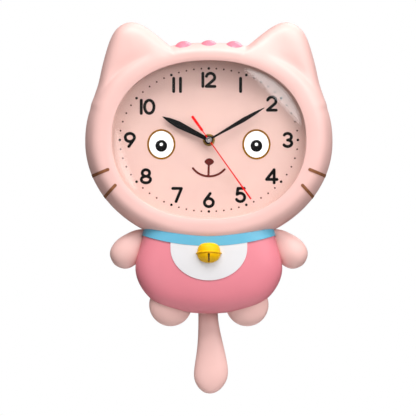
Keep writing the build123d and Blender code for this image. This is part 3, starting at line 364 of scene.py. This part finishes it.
# Insets of the rows that round the edge of the face, then the even rows up to the opening
EDGE_STEPS = [0.03, 0.1, 0.22, 0.4, 0.65, 1.0, 1.45, 2.0, 2.7, 3.5, 4.5, 5.6]
FACE_STEPS = 44
OPENING_ROUND = [(0.3, 0.0), (0.09, 0.09), (0, 0.3)]    # distance out from the opening, drop
outer_rows = [rows_of(along(head_reach - inset),
                      from_edge(np.full(HEAD_STEPS, depth), rear_edge, HEAD_SIDE_TOP))
              for inset, depth in side_wall]
span = head_reach - opening_reach - EDGE_STEPS[-1]
steps = [(np.full(HEAD_STEPS, step), 0.0) for step in EDGE_STEPS]
steps += [(EDGE_STEPS[-1] + span * i / FACE_STEPS, 0.0) for i in range(1, FACE_STEPS)]
steps += [(head_reach - opening_reach - distance, drop) for distance, drop in OPENING_ROUND]
for inset, drop in steps:
    xz = along(head_reach - inset)
    outer_rows.append(rows_of(xz, from_edge(head_depth(xz) - drop, rear_edge, HEAD_SIDE_TOP)))
outer_rows = np.array(outer_rows)

# The inside follows every other row of the outside, clear of the rear rim and of the dial opening's edge
inner_rows = shifted(outer_rows, -WALL)[2:-10:2]
inner_rows[:, :, 1] = np.maximum(inner_rows[:, :, 1], rear_edge + WALL)
rim_reach = np.maximum(reach(ring(RIM_INSET), head_centre, rays),
                       np.maximum(reach(ear(-1, RIM_INSET), head_centre, rays),
                                  reach(ear(1, RIM_INSET), head_centre, rays)))
lip_reach = reach(ring(LIP_INSET), head_centre, rays)
LIP_WALL = 3.0                                # of the opening's straight wall above the lip
edge_rows = np.array([rows_of(along(opening_reach), depth) for depth in (LIP_DEPTH + LIP_WALL, LIP_DEPTH)]
                     + [rows_of(along(lip_reach), LIP_DEPTH)])
rim_rows = np.array([rows_of(along(rim_reach), np.maximum(COVER_SEAT, rear_edge + SEAT_STEP)),
                     rows_of(along(rim_reach), rear_edge)])
head = skin("head", np.concatenate([outer_rows, edge_rows, inner_rows[::-1], rim_rows]))
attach(head, "case")
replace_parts(head, "head_shell")
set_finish(head, "head_plastic")


def head_block(name, proud):
    """The head as one solid, without its dial opening, a little larger by proud."""
    rows = shifted(outer_rows, proud) if proud else outer_rows
    behind = rows[:1] * (1, 0, 1) - (0, BLOCK_BACK, 0)
    return skin(name, np.concatenate([behind, rows]), (0, -BLOCK_BACK, HAND_Z),
                (0, HEAD_CENTRE_DEPTH, HAND_Z))


head_solid = head_block("head_solid", 0)

# ---------------------------------------------------------------- lens

LENS_INSET, LENS_THICK = 23.6, 1.8
LENS_DOME = [(0.995, 36.96), (0.94, 37.59), (0.84, 38.64), (0.68, 40.07), (0.45, 41.6), (0.2, 42.56)]
LENS_BACK = corners("lens")[0][1]
LENS_TOP, LENS_EDGE = 42.8, 0.02              # top of the dome; its wall at the rim, as a share of its size
LENS_BORE, BORE_LEAD = 0.937, 3.0             # size of the hollow's mouth and how far behind it starts
LENS_STEPS, DOME_ROWS = 240, 28


def dome_row(size, depth):
    """A row of the lens's dome: the dial opening's outline, scaled, at a depth."""
    angle = np.linspace(0, 2 * pi, LENS_STEPS, endpoint=False)
    return rows_of(oval(OPENING_SIDE, OPENING_HEIGHT, OVAL_POWER, angle) * size + (0, HAND_Z), depth)


def flange_row(depth):
    """The lens's flat edge, which lies behind the bezel."""
    wanted = np.linspace(0, RING_STEPS, LENS_STEPS, endpoint=False)
    flange = np.stack([np.interp(wanted, range(RING_STEPS), values) for values in ring(LENS_INSET).T], axis=1)
    return rows_of(flange, depth)


dome = curve([(size * OPENING_SIDE, depth) for size, depth in LENS_DOME], DOME_ROWS)
lens_rows = [flange_row(LENS_BACK), flange_row(LENS_BACK + LENS_THICK)]
lens_rows += [dome_row(x / OPENING_SIDE, depth) for x, depth in dome]
hollow = [dome_row(x / OPENING_SIDE - LENS_EDGE, depth - LENS_THICK) for x, depth in dome]
lens_front = skin("lens_front", np.array(lens_rows), (0, LENS_BACK, HAND_Z), (0, LENS_TOP, HAND_Z))
lens_hollow = skin("lens_hollow", np.array([dome_row(LENS_BORE, LENS_BACK - BORE_LEAD)] + hollow),
                   (0, LENS_BACK - BORE_LEAD, HAND_Z), (0, LENS_TOP - LENS_THICK, HAND_Z))
combined(lens_front, lens_hollow, "DIFFERENCE")
discard(lens_hollow)
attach(lens_front, "case")
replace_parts(lens_front, "lens")
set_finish(lens_front, "lens_plastic")

# ---------------------------------------------------------------- body, collar and panel

BODY_STEPS, BODY_ROWS = 300, 40
mirrored = [(-x, z) for x, z in reversed(BODY_OUTLINE[1:-1])]
body_outline = curve(BODY_OUTLINE + mirrored, BODY_STEPS, closed=True)


def body_row(inset):
    """The body's outline at an inset, as (x, z) points."""
    return (0, BODY_Z) + (body_outline - (0, BODY_Z)) * (1 - inset / BODY_HALF)


# Rear edge of the body's side wall: raised where the tail swings out under it
NOTCH_HALF, NOTCH_TOP, NOTCH_DEPTH = 32.0, -232.0, 14.2
notch = (np.abs(body_outline[:, 0]) < NOTCH_HALF) & (body_outline[:, 1] < NOTCH_TOP)
body_edge = np.where(notch, NOTCH_DEPTH, RIM_DEPTH)
body_rows = np.array([rows_of(body_row(inset),
                              from_edge(np.full(BODY_STEPS, depth), body_edge, BODY_SIDE_TOP))
                      for inset, depth in curve(BODY_PROFILE, BODY_ROWS)])
BODY_CENTRE_DEPTH = 43.35


def body_block(name, proud):
    """The body as one solid, a little larger by proud."""
    rows = shifted(body_rows, proud) if proud else body_rows
    behind = rows[:1] * (1, 0, 1) - (0, BLOCK_BACK, 0)
    return skin(name, np.concatenate([behind, rows]), (0, -BLOCK_BACK, BODY_Z),
                (0, BODY_CENTRE_DEPTH + proud, BODY_Z))


body_inner = shifted(body_rows, -WALL)[1:]
body_inner[:, :, 1] = np.maximum(body_inner[:, :, 1], body_edge + WALL)
body_rim = np.array([rows_of(body_row(RIM_INSET), body_edge),
                     rows_of(body_row(RIM_INSET), np.maximum(COVER_SEAT, body_edge + SEAT_STEP))])
body_all = np.concatenate([body_inner[::-1], body_rim[::-1], body_rows])
body = skin("body", body_all, (0, BODY_CENTRE_DEPTH - WALL, BODY_Z), (0, BODY_CENTRE_DEPTH, BODY_Z))
combined(body, head_solid, "DIFFERENCE")
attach(body, "case")
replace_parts(body, "body_shell")
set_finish(body, "body_plastic")


def arc(start, middle, end, count):
    """Points on the circle's arc through three points."""
    (ax, az), (bx, bz), (cx, cz) = start, middle, end
    a, b, c = ax ** 2 + az ** 2, bx ** 2 + bz ** 2, cx ** 2 + cz ** 2
    d = 2 * (ax * (bz - cz) + bx * (cz - az) + cx * (az - bz))
    centre_x = (a * (bz - cz) + b * (cz - az) + c * (az - bz)) / d
    centre_z = (a * (cx - bx) + b * (ax - cx) + c * (bx - ax)) / d
    first, mid, last = (atan2(z - centre_z, x - centre_x) for x, z in (start, middle, end))
    turn = (last - first) % (2 * pi)
    if (mid - first) % (2 * pi) > turn:
        turn -= 2 * pi
    radius = hypot(ax - centre_x, az - centre_z)
    return [(centre_x + radius * cos(angle), centre_z + radius * sin(angle))
            for angle in (first + turn * i / (count - 1) for i in range(count))]


def trimmed(name, block, region, cutters):
    """The part of a block inside a region, less what the cutters take."""
    combined(block, region, "INTERSECT")
    for cutter in cutters:
        combined(block, cutter, "DIFFERENCE")
    discard(region)
    block.name = name
    return block


body_solid = body_block("body_solid", 0)
COLLAR_END_Z, COLLAR_MID_Z, COLLAR_TOP = -167.0, -179.6, -158.0
COLLAR_STEPS, COLLAR_REACH = 64, (3, 53)      # depths that take in the band's whole way round the body
collar_side = BODY_HALF + 4
collar_region = arc((-BODY_HALF, COLLAR_END_Z), (0, COLLAR_MID_Z), (BODY_HALF, COLLAR_END_Z), COLLAR_STEPS)
collar_region += [(collar_side, COLLAR_END_Z), (collar_side, COLLAR_TOP), (-collar_side, COLLAR_TOP),
                  (-collar_side, COLLAR_END_Z)]
collar = trimmed("collar_band", body_block("collar_block", COLLAR_PROUD),
                 prism("collar_region", collar_region, *COLLAR_REACH), [body_solid, head_solid])
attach(collar, "case")
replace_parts(collar, "collar")
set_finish(collar, "collar_plastic")

PANEL_HALF, PANEL_DROP, PANEL_Z, PANEL_TOP = 38.2, 32.0, -182.0, -165.0
PANEL_STEPS, PANEL_REACH = 60, (36, 48)
panel_region = [(-PANEL_HALF * cos(angle), PANEL_Z - PANEL_DROP * sin(angle))
                for angle in (pi * i / PANEL_STEPS for i in range(PANEL_STEPS + 1))]
panel_region += [(PANEL_HALF, PANEL_TOP), (-PANEL_HALF, PANEL_TOP)]
panel = trimmed("belly", body_block("belly_block", PANEL_PROUD),
                prism("panel_region", panel_region, *PANEL_REACH), [body_solid, head_solid, collar])
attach(panel, "case")
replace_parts(panel, "belly_panel")
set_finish(panel, "panel_plastic")

# ---------------------------------------------------------------- whiskers

WHISKER_WIDTH, WHISKER_REACH = 3.2, (20, 50)
WHISKERS = [((100.5, -103.7), (121, -112.1)), ((93.2, -119.4), (109, -136.5))]


def capsule(start, end, width, count=12):
    """Outline of a stroke with round ends, counter-clockwise."""
    slope = atan2(end[1] - start[1], end[0] - start[0])
    outline = []
    for (x, z), turn in ((end, slope - pi / 2), (start, slope + pi / 2)):
        outline += [(x + width / 2 * cos(angle), z + width / 2 * sin(angle))
                    for angle in (turn + pi * i / count for i in range(count + 1))]
    return outline


for name, side in (("left", -1), ("right", 1)):
    marks = []
    for number, (start, end) in enumerate(WHISKERS):
        ends = ((side * start[0], start[1]), (side * end[0], end[1]))
        region = prism("whisker_region", capsule(*ends, WHISKER_WIDTH), *WHISKER_REACH)
        marks.append(trimmed(f"whisker_{name}_{number + 1}", head_block("whisker_block", WHISKER_PROUD),
                             region, [head_solid]))
    for mark in marks:
        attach(mark, "case")
        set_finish(mark, "whisker_paint")
    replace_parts(marks[0], f"whiskers_{name}")
discard(head_solid, body_solid)

# ---------------------------------------------------------------- tail


def tail_half(name, side):
    """Front (1) or back (-1) half of the tail, with a fine step where the halves meet."""
    sections = curve(TAIL_SECTIONS, TAIL_ROWS)
    turns = np.linspace(pi, 0, TAIL_STEPS)[1:-1]
    rows = []
    for z, half, shift in sections:
        deep = TAIL_FULL_DEPTH * (max(half, 0.01) / TAIL_FULL) ** TAIL_ROUNDING
        row = [(shift + (half - TAIL_SEAM) * edge, TAIL_DEPTH + TAIL_JOINT * side, z)
               for edge in (1, 0.4, -0.4, -1)]
        row += [(shift + half * cos(t), TAIL_DEPTH + side * deep * sin(t), z) for t in turns]
        rows.append(row if side > 0 else row[::-1])
    first = (sections[0][2], TAIL_DEPTH + side, sections[0][0])
    last = (sections[-1][2], TAIL_DEPTH + side, sections[-1][0] - 0.1)
    half = skin(name, np.array(rows), first, last)
    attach(half, "pendulum")
    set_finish(half, "head_plastic")
    return half


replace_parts(tail_half("tail_half_front", 1), "tail_front")
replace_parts(tail_half("tail_half_back", -1), "tail_back")

# ---------------------------------------------------------------- dial print

PRINT = 0.08                                  # thickness of one layer
dial_front = corners("dial_plate")[1][1]


def printed(name, shapes, ink, level=0):
    """A thin layer of ink with the joined outline of overlapping shapes, each a list of (x, z) points."""
    points = [p for shape in shapes for p in shape]
    loops, start = [], 0
    for shape in shapes:
        loops.append(list(range(start, start + len(shape))))
        start += len(shape)
    flat, _, triangles, _, _, owners = delaunay_2d_cdt([Vector(p) for p in points], [], loops, 1, 1e-5)
    triangles = [t for t, owner in zip(triangles, owners) if owner]
    near, far = dial_front + level * PRINT, dial_front + (level + 1) * PRINT
    n = len(flat)
    sides = {}
    for t in triangles:
        for a, b in zip(t, t[1:] + t[:1]):
            sides[(a, b)] = (b, a) not in sides
            if (b, a) in sides:
                sides[(b, a)] = False
    faces = [tuple(n + i for i in t) for t in triangles] + [tuple(reversed(t)) for t in triangles]
    faces += [(a, b, n + b, n + a) for (a, b), rim in sides.items() if rim]
    piece = mesh_object(name, [(x, near, z) for x, z in flat] + [(x, far, z) for x, z in flat], faces)
    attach(piece, "case")
    piece.data.materials.append(ink)
    return piece


def ellipse(centre, half_x, half_z, count=64):
    """Points around an ellipse, counter-clockwise."""
    return [(centre[0] + half_x * cos(angle), centre[1] + half_z * sin(angle))
            for angle in (2 * pi * i / count for i in range(count))]


def stroke(points, width):
    """Overlapping shapes that make a line of even width with round ends and corners."""
    return [capsule(a, b, width) for a, b in zip(points, points[1:])]


def bow(centre, half_x, half_z, first, last, count=16):
    """Points on an ellipse from one angle to another, in degrees."""
    return [(centre[0] + half_x * cos(angle), centre[1] + half_z * sin(angle))
            for angle in np.radians(np.linspace(first, last, count))]


# Numerals in a box one unit high, centred: each one's width and its strokes' centre lines
DIGITS = {
    "0": (0.72, [bow((0, 0), 0.36, 0.5, 90, 450, 32)]),
    "1": (0, [[(0, 0.5), (0, -0.5)]]),
    "2": (0.66, [bow((0, 0.19), 0.32, 0.31, 165, -35, 16) + [(-0.33, -0.5), (0.34, -0.5)]]),
    "3": (0.62, [bow((-0.02, 0.245), 0.29, 0.255, 150, -90, 16),
                 bow((-0.02, -0.255), 0.32, 0.245, 90, -150, 16)]),
    "4": (0.8, [[(0.18, -0.5), (0.18, 0.5), (-0.4, -0.24), (0.4, -0.24)]]),
    "5": (0.66, [[(0.28, 0.5), (-0.2, 0.5), (-0.27, 0.05)] + bow((-0.02, -0.18), 0.33, 0.32, 125, -150, 18)]),
    "6": (0.68, [bow((0, -0.19), 0.34, 0.31, 90, 450, 28), [(-0.29, -0.03), (0.1, 0.5)]]),
    "7": (0.66, [[(-0.33, 0.5), (0.33, 0.5), (-0.08, -0.5)]]),
    "8": (0.7, [bow((0, 0.25), 0.28, 0.25, 90, 450, 26), bow((0, -0.25), 0.35, 0.25, 90, 450, 28)]),
    "9": (0.72, [bow((0, 0.19), 0.35, 0.31, 90, 450, 28), [(0.3, 0.03), (-0.08, -0.5)]]),
}
NUMERAL_HEIGHT, NUMERAL_STROKE = 13.1, 3.0
DIGIT_GAP, ELEVEN_GAP = 0.3, 3.8              # between two digits' boxes
NUMERAL_OVAL, DOT_OVAL = (78.9, 60.0), (88.9, 71.4)
NUMERAL_NUDGE = {10: (1.7, -3.2)}


def clock_point(minutes, semi):
    """Where the ray at this many minutes meets an ellipse about the hands' axis."""
    angle = radians(6 * minutes)
    distance = 1 / hypot(sin(angle) / semi[0], cos(angle) / semi[1])
    return distance * sin(angle), HAND_Z + distance * cos(angle)


def numeral(hour):
    """The strokes of one hour's numeral."""
    x, z = clock_point(5 * hour, NUMERAL_OVAL)
    nudge = NUMERAL_NUDGE.get(hour, (0, 0))
    text = str(hour)
    widths = [DIGITS[c][0] * NUMERAL_HEIGHT + NUMERAL_STROKE for c in text]
    gap = ELEVEN_GAP if hour == 11 else DIGIT_GAP
    left = x + nudge[0] - (sum(widths) + gap * (len(text) - 1)) / 2
    shapes = []
    for c, width in zip(text, widths):
        for points in DIGITS[c][1]:
            placed = [(left + width / 2 + px * NUMERAL_HEIGHT, z + nudge[1] + pz * NUMERAL_HEIGHT)
                      for px, pz in points]
            shapes += stroke(placed, NUMERAL_STROKE)
        left += width + gap
    return shapes


# ---------------------------------------------------------------- materials


def colour(red, green, blue):
    """A linear colour from the usual 0 to 255 numbers."""
    return tuple((c / 255 / 12.92 if c <= 10 else ((c / 255 + 0.055) / 1.055) ** 2.4)
                 for c in (red, green, blue)) + (1.0,)


class Surface:
    """A material in progress, with a Principled shader fed by procedural nodes."""

    def __init__(self, name):
        self.material = bpy.data.materials.new(name)
        self.material.use_nodes = True
        self.nodes, self.links = self.material.node_tree.nodes, self.material.node_tree.links
        self.shader = self.nodes["Principled BSDF"]
        self.output = self.nodes["Material Output"]
        self.place = self.nodes.new("ShaderNodeTexCoord").outputs["Object"]

    def noise(self, scale, detail=3.0, stretch=None):
        """Soft random pattern; scale is in features per metre."""
        n = self.nodes.new("ShaderNodeTexNoise")
        n.inputs["Scale"].default_value, n.inputs["Detail"].default_value = scale, detail
        place = self.place
        if stretch:
            m = self.nodes.new("ShaderNodeMapping")
            m.inputs["Scale"].default_value = stretch
            self.links.new(place, m.inputs["Vector"])
            place = m.outputs["Vector"]
        self.links.new(place, n.inputs["Vector"])
        return n.outputs["Fac"]

    def ramp(self, pattern, stops, socket="Base Color"):
        """Colour the surface by a pattern; stops are (position, colour)."""
        r = self.nodes.new("ShaderNodeValToRGB")
        elements = r.color_ramp.elements
        while len(elements) < len(stops):
            elements.new(0.5)
        for element, (position, value) in zip(elements, stops):
            element.position, element.color = position, value
        self.links.new(pattern, r.inputs["Fac"])
        self.links.new(r.outputs["Color"], self.shader.inputs[socket])

    def spread(self, pattern, low, high, socket):
        """Feed a value socket from a pattern, between two values."""
        m = self.nodes.new("ShaderNodeMapRange")
        m.inputs["From Min"].default_value, m.inputs["From Max"].default_value = 0.3, 0.7
        m.inputs["To Min"].default_value, m.inputs["To Max"].default_value = low, high
        self.links.new(pattern, m.inputs["Value"])
        self.links.new(m.outputs["Result"], self.shader.inputs[socket])

    def bump(self, pattern, height, strength=1.0):
        """Raise the surface by a pattern; height is in metres."""
        b = self.nodes.new("ShaderNodeBump")
        b.inputs["Strength"].default_value, b.inputs["Distance"].default_value = strength, height
        self.links.new(pattern, b.inputs["Height"])
        self.links.new(b.outputs["Normal"], self.shader.inputs["Normal"])

    def set(self, **values):
        """Set the shader's own sockets to plain values."""
        for socket, value in values.items():
            self.shader.inputs[socket.replace("_", " ")].default_value = value


def shaded(base, share):
    """A base colour made lighter or darker."""
    return tuple(min(c * share, 1) for c in base[:3]) + (1.0,)


def plastic(name, base, rough=0.34, grain=0.000012, variation=0.03, coat=0.0, gloss=0.5):
    """Moulded plastic: a faint mottle in its colour, uneven gloss and a very fine moulded texture."""
    s = Surface(name)
    s.ramp(s.noise(22, 4), [(0.3, shaded(base, 1 - variation)), (0.7, shaded(base, 1 + variation))])
    s.spread(s.noise(70, 5), rough - 0.04, rough + 0.05, "Roughness")
    s.bump(s.noise(1400, 2), grain)
    s.set(IOR=1.5, Coat_Weight=coat, Coat_Roughness=0.12, Specular_IOR_Level=gloss)
    return s.material


def metal(name, base, rough=0.25, stretch=(1, 12, 1)):
    """Turned or rolled metal: fine lines along one direction and a little tarnish."""
    s = Surface(name)
    s.ramp(s.noise(120, 5), [(0.3, shaded(base, 0.82)), (0.7, shaded(base, 1.08))])
    s.spread(s.noise(900, 3, stretch), rough - 0.08, rough + 0.12, "Roughness")
    s.bump(s.noise(1800, 3, stretch), 0.00001)
    s.set(Metallic=1.0)
    return s.material


def glass(name):
    """Clear moulded acrylic that lets lamps through, with faint moulding waves."""
    s = Surface(name)
    s.ramp(s.noise(30, 2), [(0.3, colour(250, 250, 252)), (0.7, (1, 1, 1, 1))])
    s.spread(s.noise(60, 3), 0.015, 0.035, "Roughness")
    s.set(IOR=1.49, Transmission_Weight=1.0)
    clear = s.nodes.new("ShaderNodeBsdfTransparent")
    path = s.nodes.new("ShaderNodeLightPath")
    mix = s.nodes.new("ShaderNodeMixShader")
    s.links.new(path.outputs["Is Shadow Ray"], mix.inputs["Fac"])
    s.links.new(s.shader.outputs["BSDF"], mix.inputs[1])
    s.links.new(clear.outputs["BSDF"], mix.inputs[2])
    s.links.new(mix.outputs["Shader"], s.output.inputs["Surface"])
    return s.material


def winding(name):
    """Enamelled copper wire wound on a coil."""
    s = Surface(name)
    w = s.nodes.new("ShaderNodeTexWave")
    w.inputs["Scale"].default_value = 900
    s.links.new(s.place, w.inputs["Vector"])
    s.ramp(w.outputs["Fac"], [(0.1, colour(96, 40, 18)), (0.8, colour(196, 104, 52))])
    s.spread(s.noise(300, 3), 0.25, 0.4, "Roughness")
    s.bump(w.outputs["Fac"], 0.00006)
    s.set(Metallic=0.85)
    return s.material


def ink(name, base, rough=0.5):
    """Screen-printed ink: slightly uneven cover and a soft edge-to-edge gloss."""
    s = Surface(name)
    s.ramp(s.noise(260, 4), [(0.35, shaded(base, 0.85)), (0.65, shaded(base, 1.15))])
    s.spread(s.noise(400, 2), rough - 0.06, rough + 0.08, "Roughness")
    s.bump(s.noise(2500, 2), 0.000006)
    s.set(Specular_IOR_Level=0.08)
    return s.material


def cell_wrap(name):
    """A battery's printed sleeve: dark body, lighter band at one end."""
    s = Surface(name)
    g = s.nodes.new("ShaderNodeSeparateXYZ")
    s.links.new(s.place, g.inputs["Vector"])
    low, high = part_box("battery")
    m = s.nodes.new("ShaderNodeMapRange")
    m.inputs["From Min"].default_value, m.inputs["From Max"].default_value = low.x, high.x
    s.links.new(g.outputs["X"], m.inputs["Value"])
    dark, band, end = (0.7, colour(44, 48, 56)), (0.72, colour(196, 150, 70)), (0.98, colour(190, 190, 192))
    s.ramp(m.outputs["Result"], [(0.0, colour(40, 44, 52)), dark, band, (0.97, colour(205, 160, 80)), end])
    s.spread(s.noise(150, 3), 0.22, 0.34, "Roughness")
    s.bump(s.noise(800, 2), 0.00001)
    s.set(Metallic=0.4)
    return s.material


MATERIALS = {
    "head_plastic": plastic("head_plastic", colour(238, 192, 185), 0.46),
    "pad_plastic": plastic("pad_plastic", colour(240, 128, 148), 0.32, coat=0.1),
    "whisker_paint": ink("whisker_paint", colour(142, 92, 64)),
    "body_plastic": plastic("body_plastic", colour(232, 134, 147), 0.42),
    "collar_plastic": plastic("collar_plastic", colour(102, 182, 212), 0.38, coat=0.05),
    "panel_plastic": plastic("panel_plastic", colour(228, 226, 228), 0.36, coat=0.1),
    "bell_plastic": plastic("bell_plastic", colour(244, 188, 0), 0.4, gloss=0.15),
    "cover_plastic": plastic("cover_plastic", colour(214, 206, 200), 0.5, 0.00004),
    "lens_plastic": glass("lens_plastic"),
    "dial_card": plastic("dial_card", colour(202, 168, 158), 0.65, variation=0.01),
    "hand_black": ink("hand_black", colour(9, 9, 10), 0.45),
    "hand_red": ink("hand_red", colour(206, 1, 6), 0.45),
    "steel": metal("steel", colour(190, 190, 192)),
    "brass": metal("brass", colour(206, 164, 84)),
    "rubber": plastic("rubber", colour(24, 24, 25), 0.7, 0.00004),
    "movement_plastic": plastic("movement_plastic", colour(34, 34, 36), 0.48, 0.00004),
    "gear_plastic": plastic("gear_plastic", colour(236, 234, 226), 0.4),
    "copper": winding("copper"),
    "board": plastic("board", colour(24, 96, 52), 0.4),
    "magnet": metal("magnet", colour(92, 94, 98), 0.35),
    "cell": cell_wrap("cell"),
}
for part in frame["record"]["subparts"]:
    node = frame["nodes"][part["node"]]
    node.data.materials.clear()
    node.data.materials.append(MATERIALS[part["material_slot"]])
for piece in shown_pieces():
    if "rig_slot" in piece:
        piece.data.materials.clear()
        piece.data.materials.append(MATERIALS[piece["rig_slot"]])

# ---------------------------------------------------------------- what is printed on the dial

BLACK = ink("ink_black", colour(4, 4, 4))
BROWN = ink("ink_brown", colour(88, 30, 25))
DARK = ink("ink_dark", colour(66, 36, 34))
GOLD = ink("ink_gold", colour(124, 80, 2))
WHITE = ink("ink_white", colour(244, 242, 240))

printed("print_numerals", [s for hour in range(1, 13) for s in numeral(hour)], BLACK)
HOUR_DOT, MINUTE_DOT = 1.35, 0.9
printed("print_hour_dots", [ellipse(clock_point(5 * hour, DOT_OVAL), HOUR_DOT, HOUR_DOT, 20)
                            for hour in range(12)], BLACK)
printed("print_minute_dots", [ellipse(clock_point(minute, DOT_OVAL), MINUTE_DOT, MINUTE_DOT, 14)
                              for minute in range(60) if minute % 5], DARK)
EYE_X, EYE_Z = 47.5, HAND_Z - 4.4
EYE_HALF_X, EYE_HALF_Z, EYE_LINE, PUPIL, PUPIL_DROP, GLINT = 14.2, 15.2, 2.0, 5.95, 1.5, 1.6
for name, x in (("left", -EYE_X), ("right", EYE_X)):
    printed(f"print_eye_ring_{name}", [ellipse((x, EYE_Z), EYE_HALF_X, EYE_HALF_Z)], GOLD)
    printed(f"print_eye_white_{name}",
            [ellipse((x, EYE_Z), EYE_HALF_X - EYE_LINE, EYE_HALF_Z - EYE_LINE)], WHITE, 1)
    printed(f"print_pupil_{name}", [ellipse((x, EYE_Z - PUPIL_DROP), PUPIL, PUPIL)], BLACK, 2)
    printed(f"print_glint_{name}", [ellipse((x, EYE_Z), GLINT, GLINT, 24)], WHITE, 3)
NOSE_X, NOSE_Z, NOSE_HALF_X, NOSE_HALF_Z, NOSE_PINCH = 0.35, HAND_Z - 21.8, 4.8, 3.6, 0.25
STEM_END = (-0.4, HAND_Z - 36)
MOUTH_LEFT, MOUTH_LOW, MOUTH_RIGHT = (-15.9, HAND_Z - 28.3), (-1.5, HAND_Z - 36.3), (15.7, HAND_Z - 29.4)
MOUTH_STROKE = 2.2
nose = [(NOSE_X + NOSE_HALF_X * sin(angle) * abs(sin(angle)) ** NOSE_PINCH,
         NOSE_Z + NOSE_HALF_Z * cos(angle) * abs(cos(angle)) ** NOSE_PINCH)
        for angle in np.linspace(2 * pi, 0, 48, endpoint=False)]
stem = stroke([(0, NOSE_Z), STEM_END], MOUTH_STROKE)
mouth = stroke(arc(MOUTH_LEFT, MOUTH_LOW, MOUTH_RIGHT, 20), MOUTH_STROKE)
printed("print_nose_and_mouth", [nose] + stem + mouth, BROWN)

# ---------------------------------------------------------------- floor, light and camera

FLOOR_GAP, FLOOR_RADIUS, FLOOR_STEPS = 600.0, 700.0, 96
floor_z = cad_low.z / MM - FLOOR_GAP
floor_rim = [(x, depth, floor_z) for x, depth in ellipse((0, 0), FLOOR_RADIUS, FLOOR_RADIUS, FLOOR_STEPS)]
floor = mesh_object("floor", floor_rim, [tuple(range(FLOOR_STEPS))])
floor_surface = Surface("floor_paint")
floor_surface.ramp(floor_surface.noise(6, 2), [(0.3, colour(232, 231, 230)), (0.7, colour(238, 237, 236))])
floor.data.materials.append(floor_surface.material)

world = bpy.data.worlds.new("studio")
bpy.context.scene.world = world
world.use_nodes = True
nodes, links = world.node_tree.nodes, world.node_tree.links
surround = nodes["Background"]
direction = nodes.new("ShaderNodeSeparateXYZ")
links.new(nodes.new("ShaderNodeTexCoord").outputs["Generated"], direction.inputs["Vector"])
height = nodes.new("ShaderNodeMapRange")
height.inputs["From Min"].default_value, height.inputs["From Max"].default_value = -1.0, 1.0
links.new(direction.outputs["Z"], height.inputs["Value"])
sky = nodes.new("ShaderNodeValToRGB")
SKY_LEVELS, SKY_TINT = [(0.0, 0.06), (0.5, 0.07), (0.75, 0.3), (1.0, 0.6)], (1, 0.985, 0.98)
stops = sky.color_ramp.elements
for position, level in SKY_LEVELS[1:-1]:
    stops.new(position)
for stop, (position, level) in zip(stops, SKY_LEVELS):
    stop.position, stop.color = position, [level * share for share in SKY_TINT] + [1]
links.new(height.outputs["Result"], sky.inputs["Fac"])
links.new(sky.outputs["Color"], surround.inputs["Color"])
backdrop = nodes.new("ShaderNodeBackground")
backdrop.inputs["Color"].default_value = (1, 1, 1, 1)
path = nodes.new("ShaderNodeLightPath")
choice = nodes.new("ShaderNodeMixShader")
links.new(path.outputs["Is Camera Ray"], choice.inputs["Fac"])
links.new(surround.outputs["Background"], choice.inputs[1])
links.new(backdrop.outputs["Background"], choice.inputs[2])
links.new(choice.outputs["Shader"], nodes["World Output"].inputs["Surface"])


def softbox(name, off_axis, turn, away, width, length, power):
    """An area light facing the clock's middle, at degrees from straight in front and turned up from the
    right. Its length runs outwards."""
    light = bpy.data.lights.new(name, "AREA")
    light.shape, light.size, light.size_y, light.energy = "RECTANGLE", width, length, power
    lamp = bpy.data.objects.new(name, light)
    outward = Vector((cos(radians(turn)), 0, sin(radians(turn))))
    out = outward * sin(radians(off_axis)) + Vector((0, -cos(radians(off_axis)), 0))
    side = outward.cross(Vector((0, -1, 0)))
    lamp.matrix_world = Matrix((side, out.cross(side), out)).transposed().to_4x4()
    lamp.location = Vector((0, 0, (cad_low.z + cad_high.z) / 2)) + out * away
    bpy.context.scene.collection.objects.link(lamp)


# Degrees off axis, degrees turned, distance, width and length in metres, watts. The upper right and lower
# left lights are the two windows that the lens mirrors along its rim.
softbox("top", 58, 94, 2.2, 1.6, 1.0, 41)
softbox("key", 62, 40, 2.4, 1.2, 1.2, 20)
softbox("upper_right", 31.3, 36, 2.4, 1.1, 1.3, 20)
softbox("lower_left", 29.6, 196, 2.4, 1.1, 1.3, 7)
softbox("rear", 134.6, 62, 2.4, 1.2, 1.2, 10)

VIEW_DISTANCE, VIEW_SPAN, SENSOR = 5.0, 0.416, 36.0
VIEW_X, VIEW_PLANE, VIEW_Z = -0.00085, 0.02, -0.142      # middle of the view, and the depth it is true at
camera = bpy.data.objects.new("camera", bpy.data.cameras.new("camera"))
camera.data.sensor_width = SENSOR
camera.data.lens = SENSOR * VIEW_DISTANCE / VIEW_SPAN
camera.location = (VIEW_X, -VIEW_DISTANCE - VIEW_PLANE, VIEW_Z)
camera.rotation_euler = (radians(90), 0, 0)
bpy.context.scene.collection.objects.link(camera)
bpy.context.scene.camera = camera
bpy.context.scene.view_settings.view_transform = "Standard"
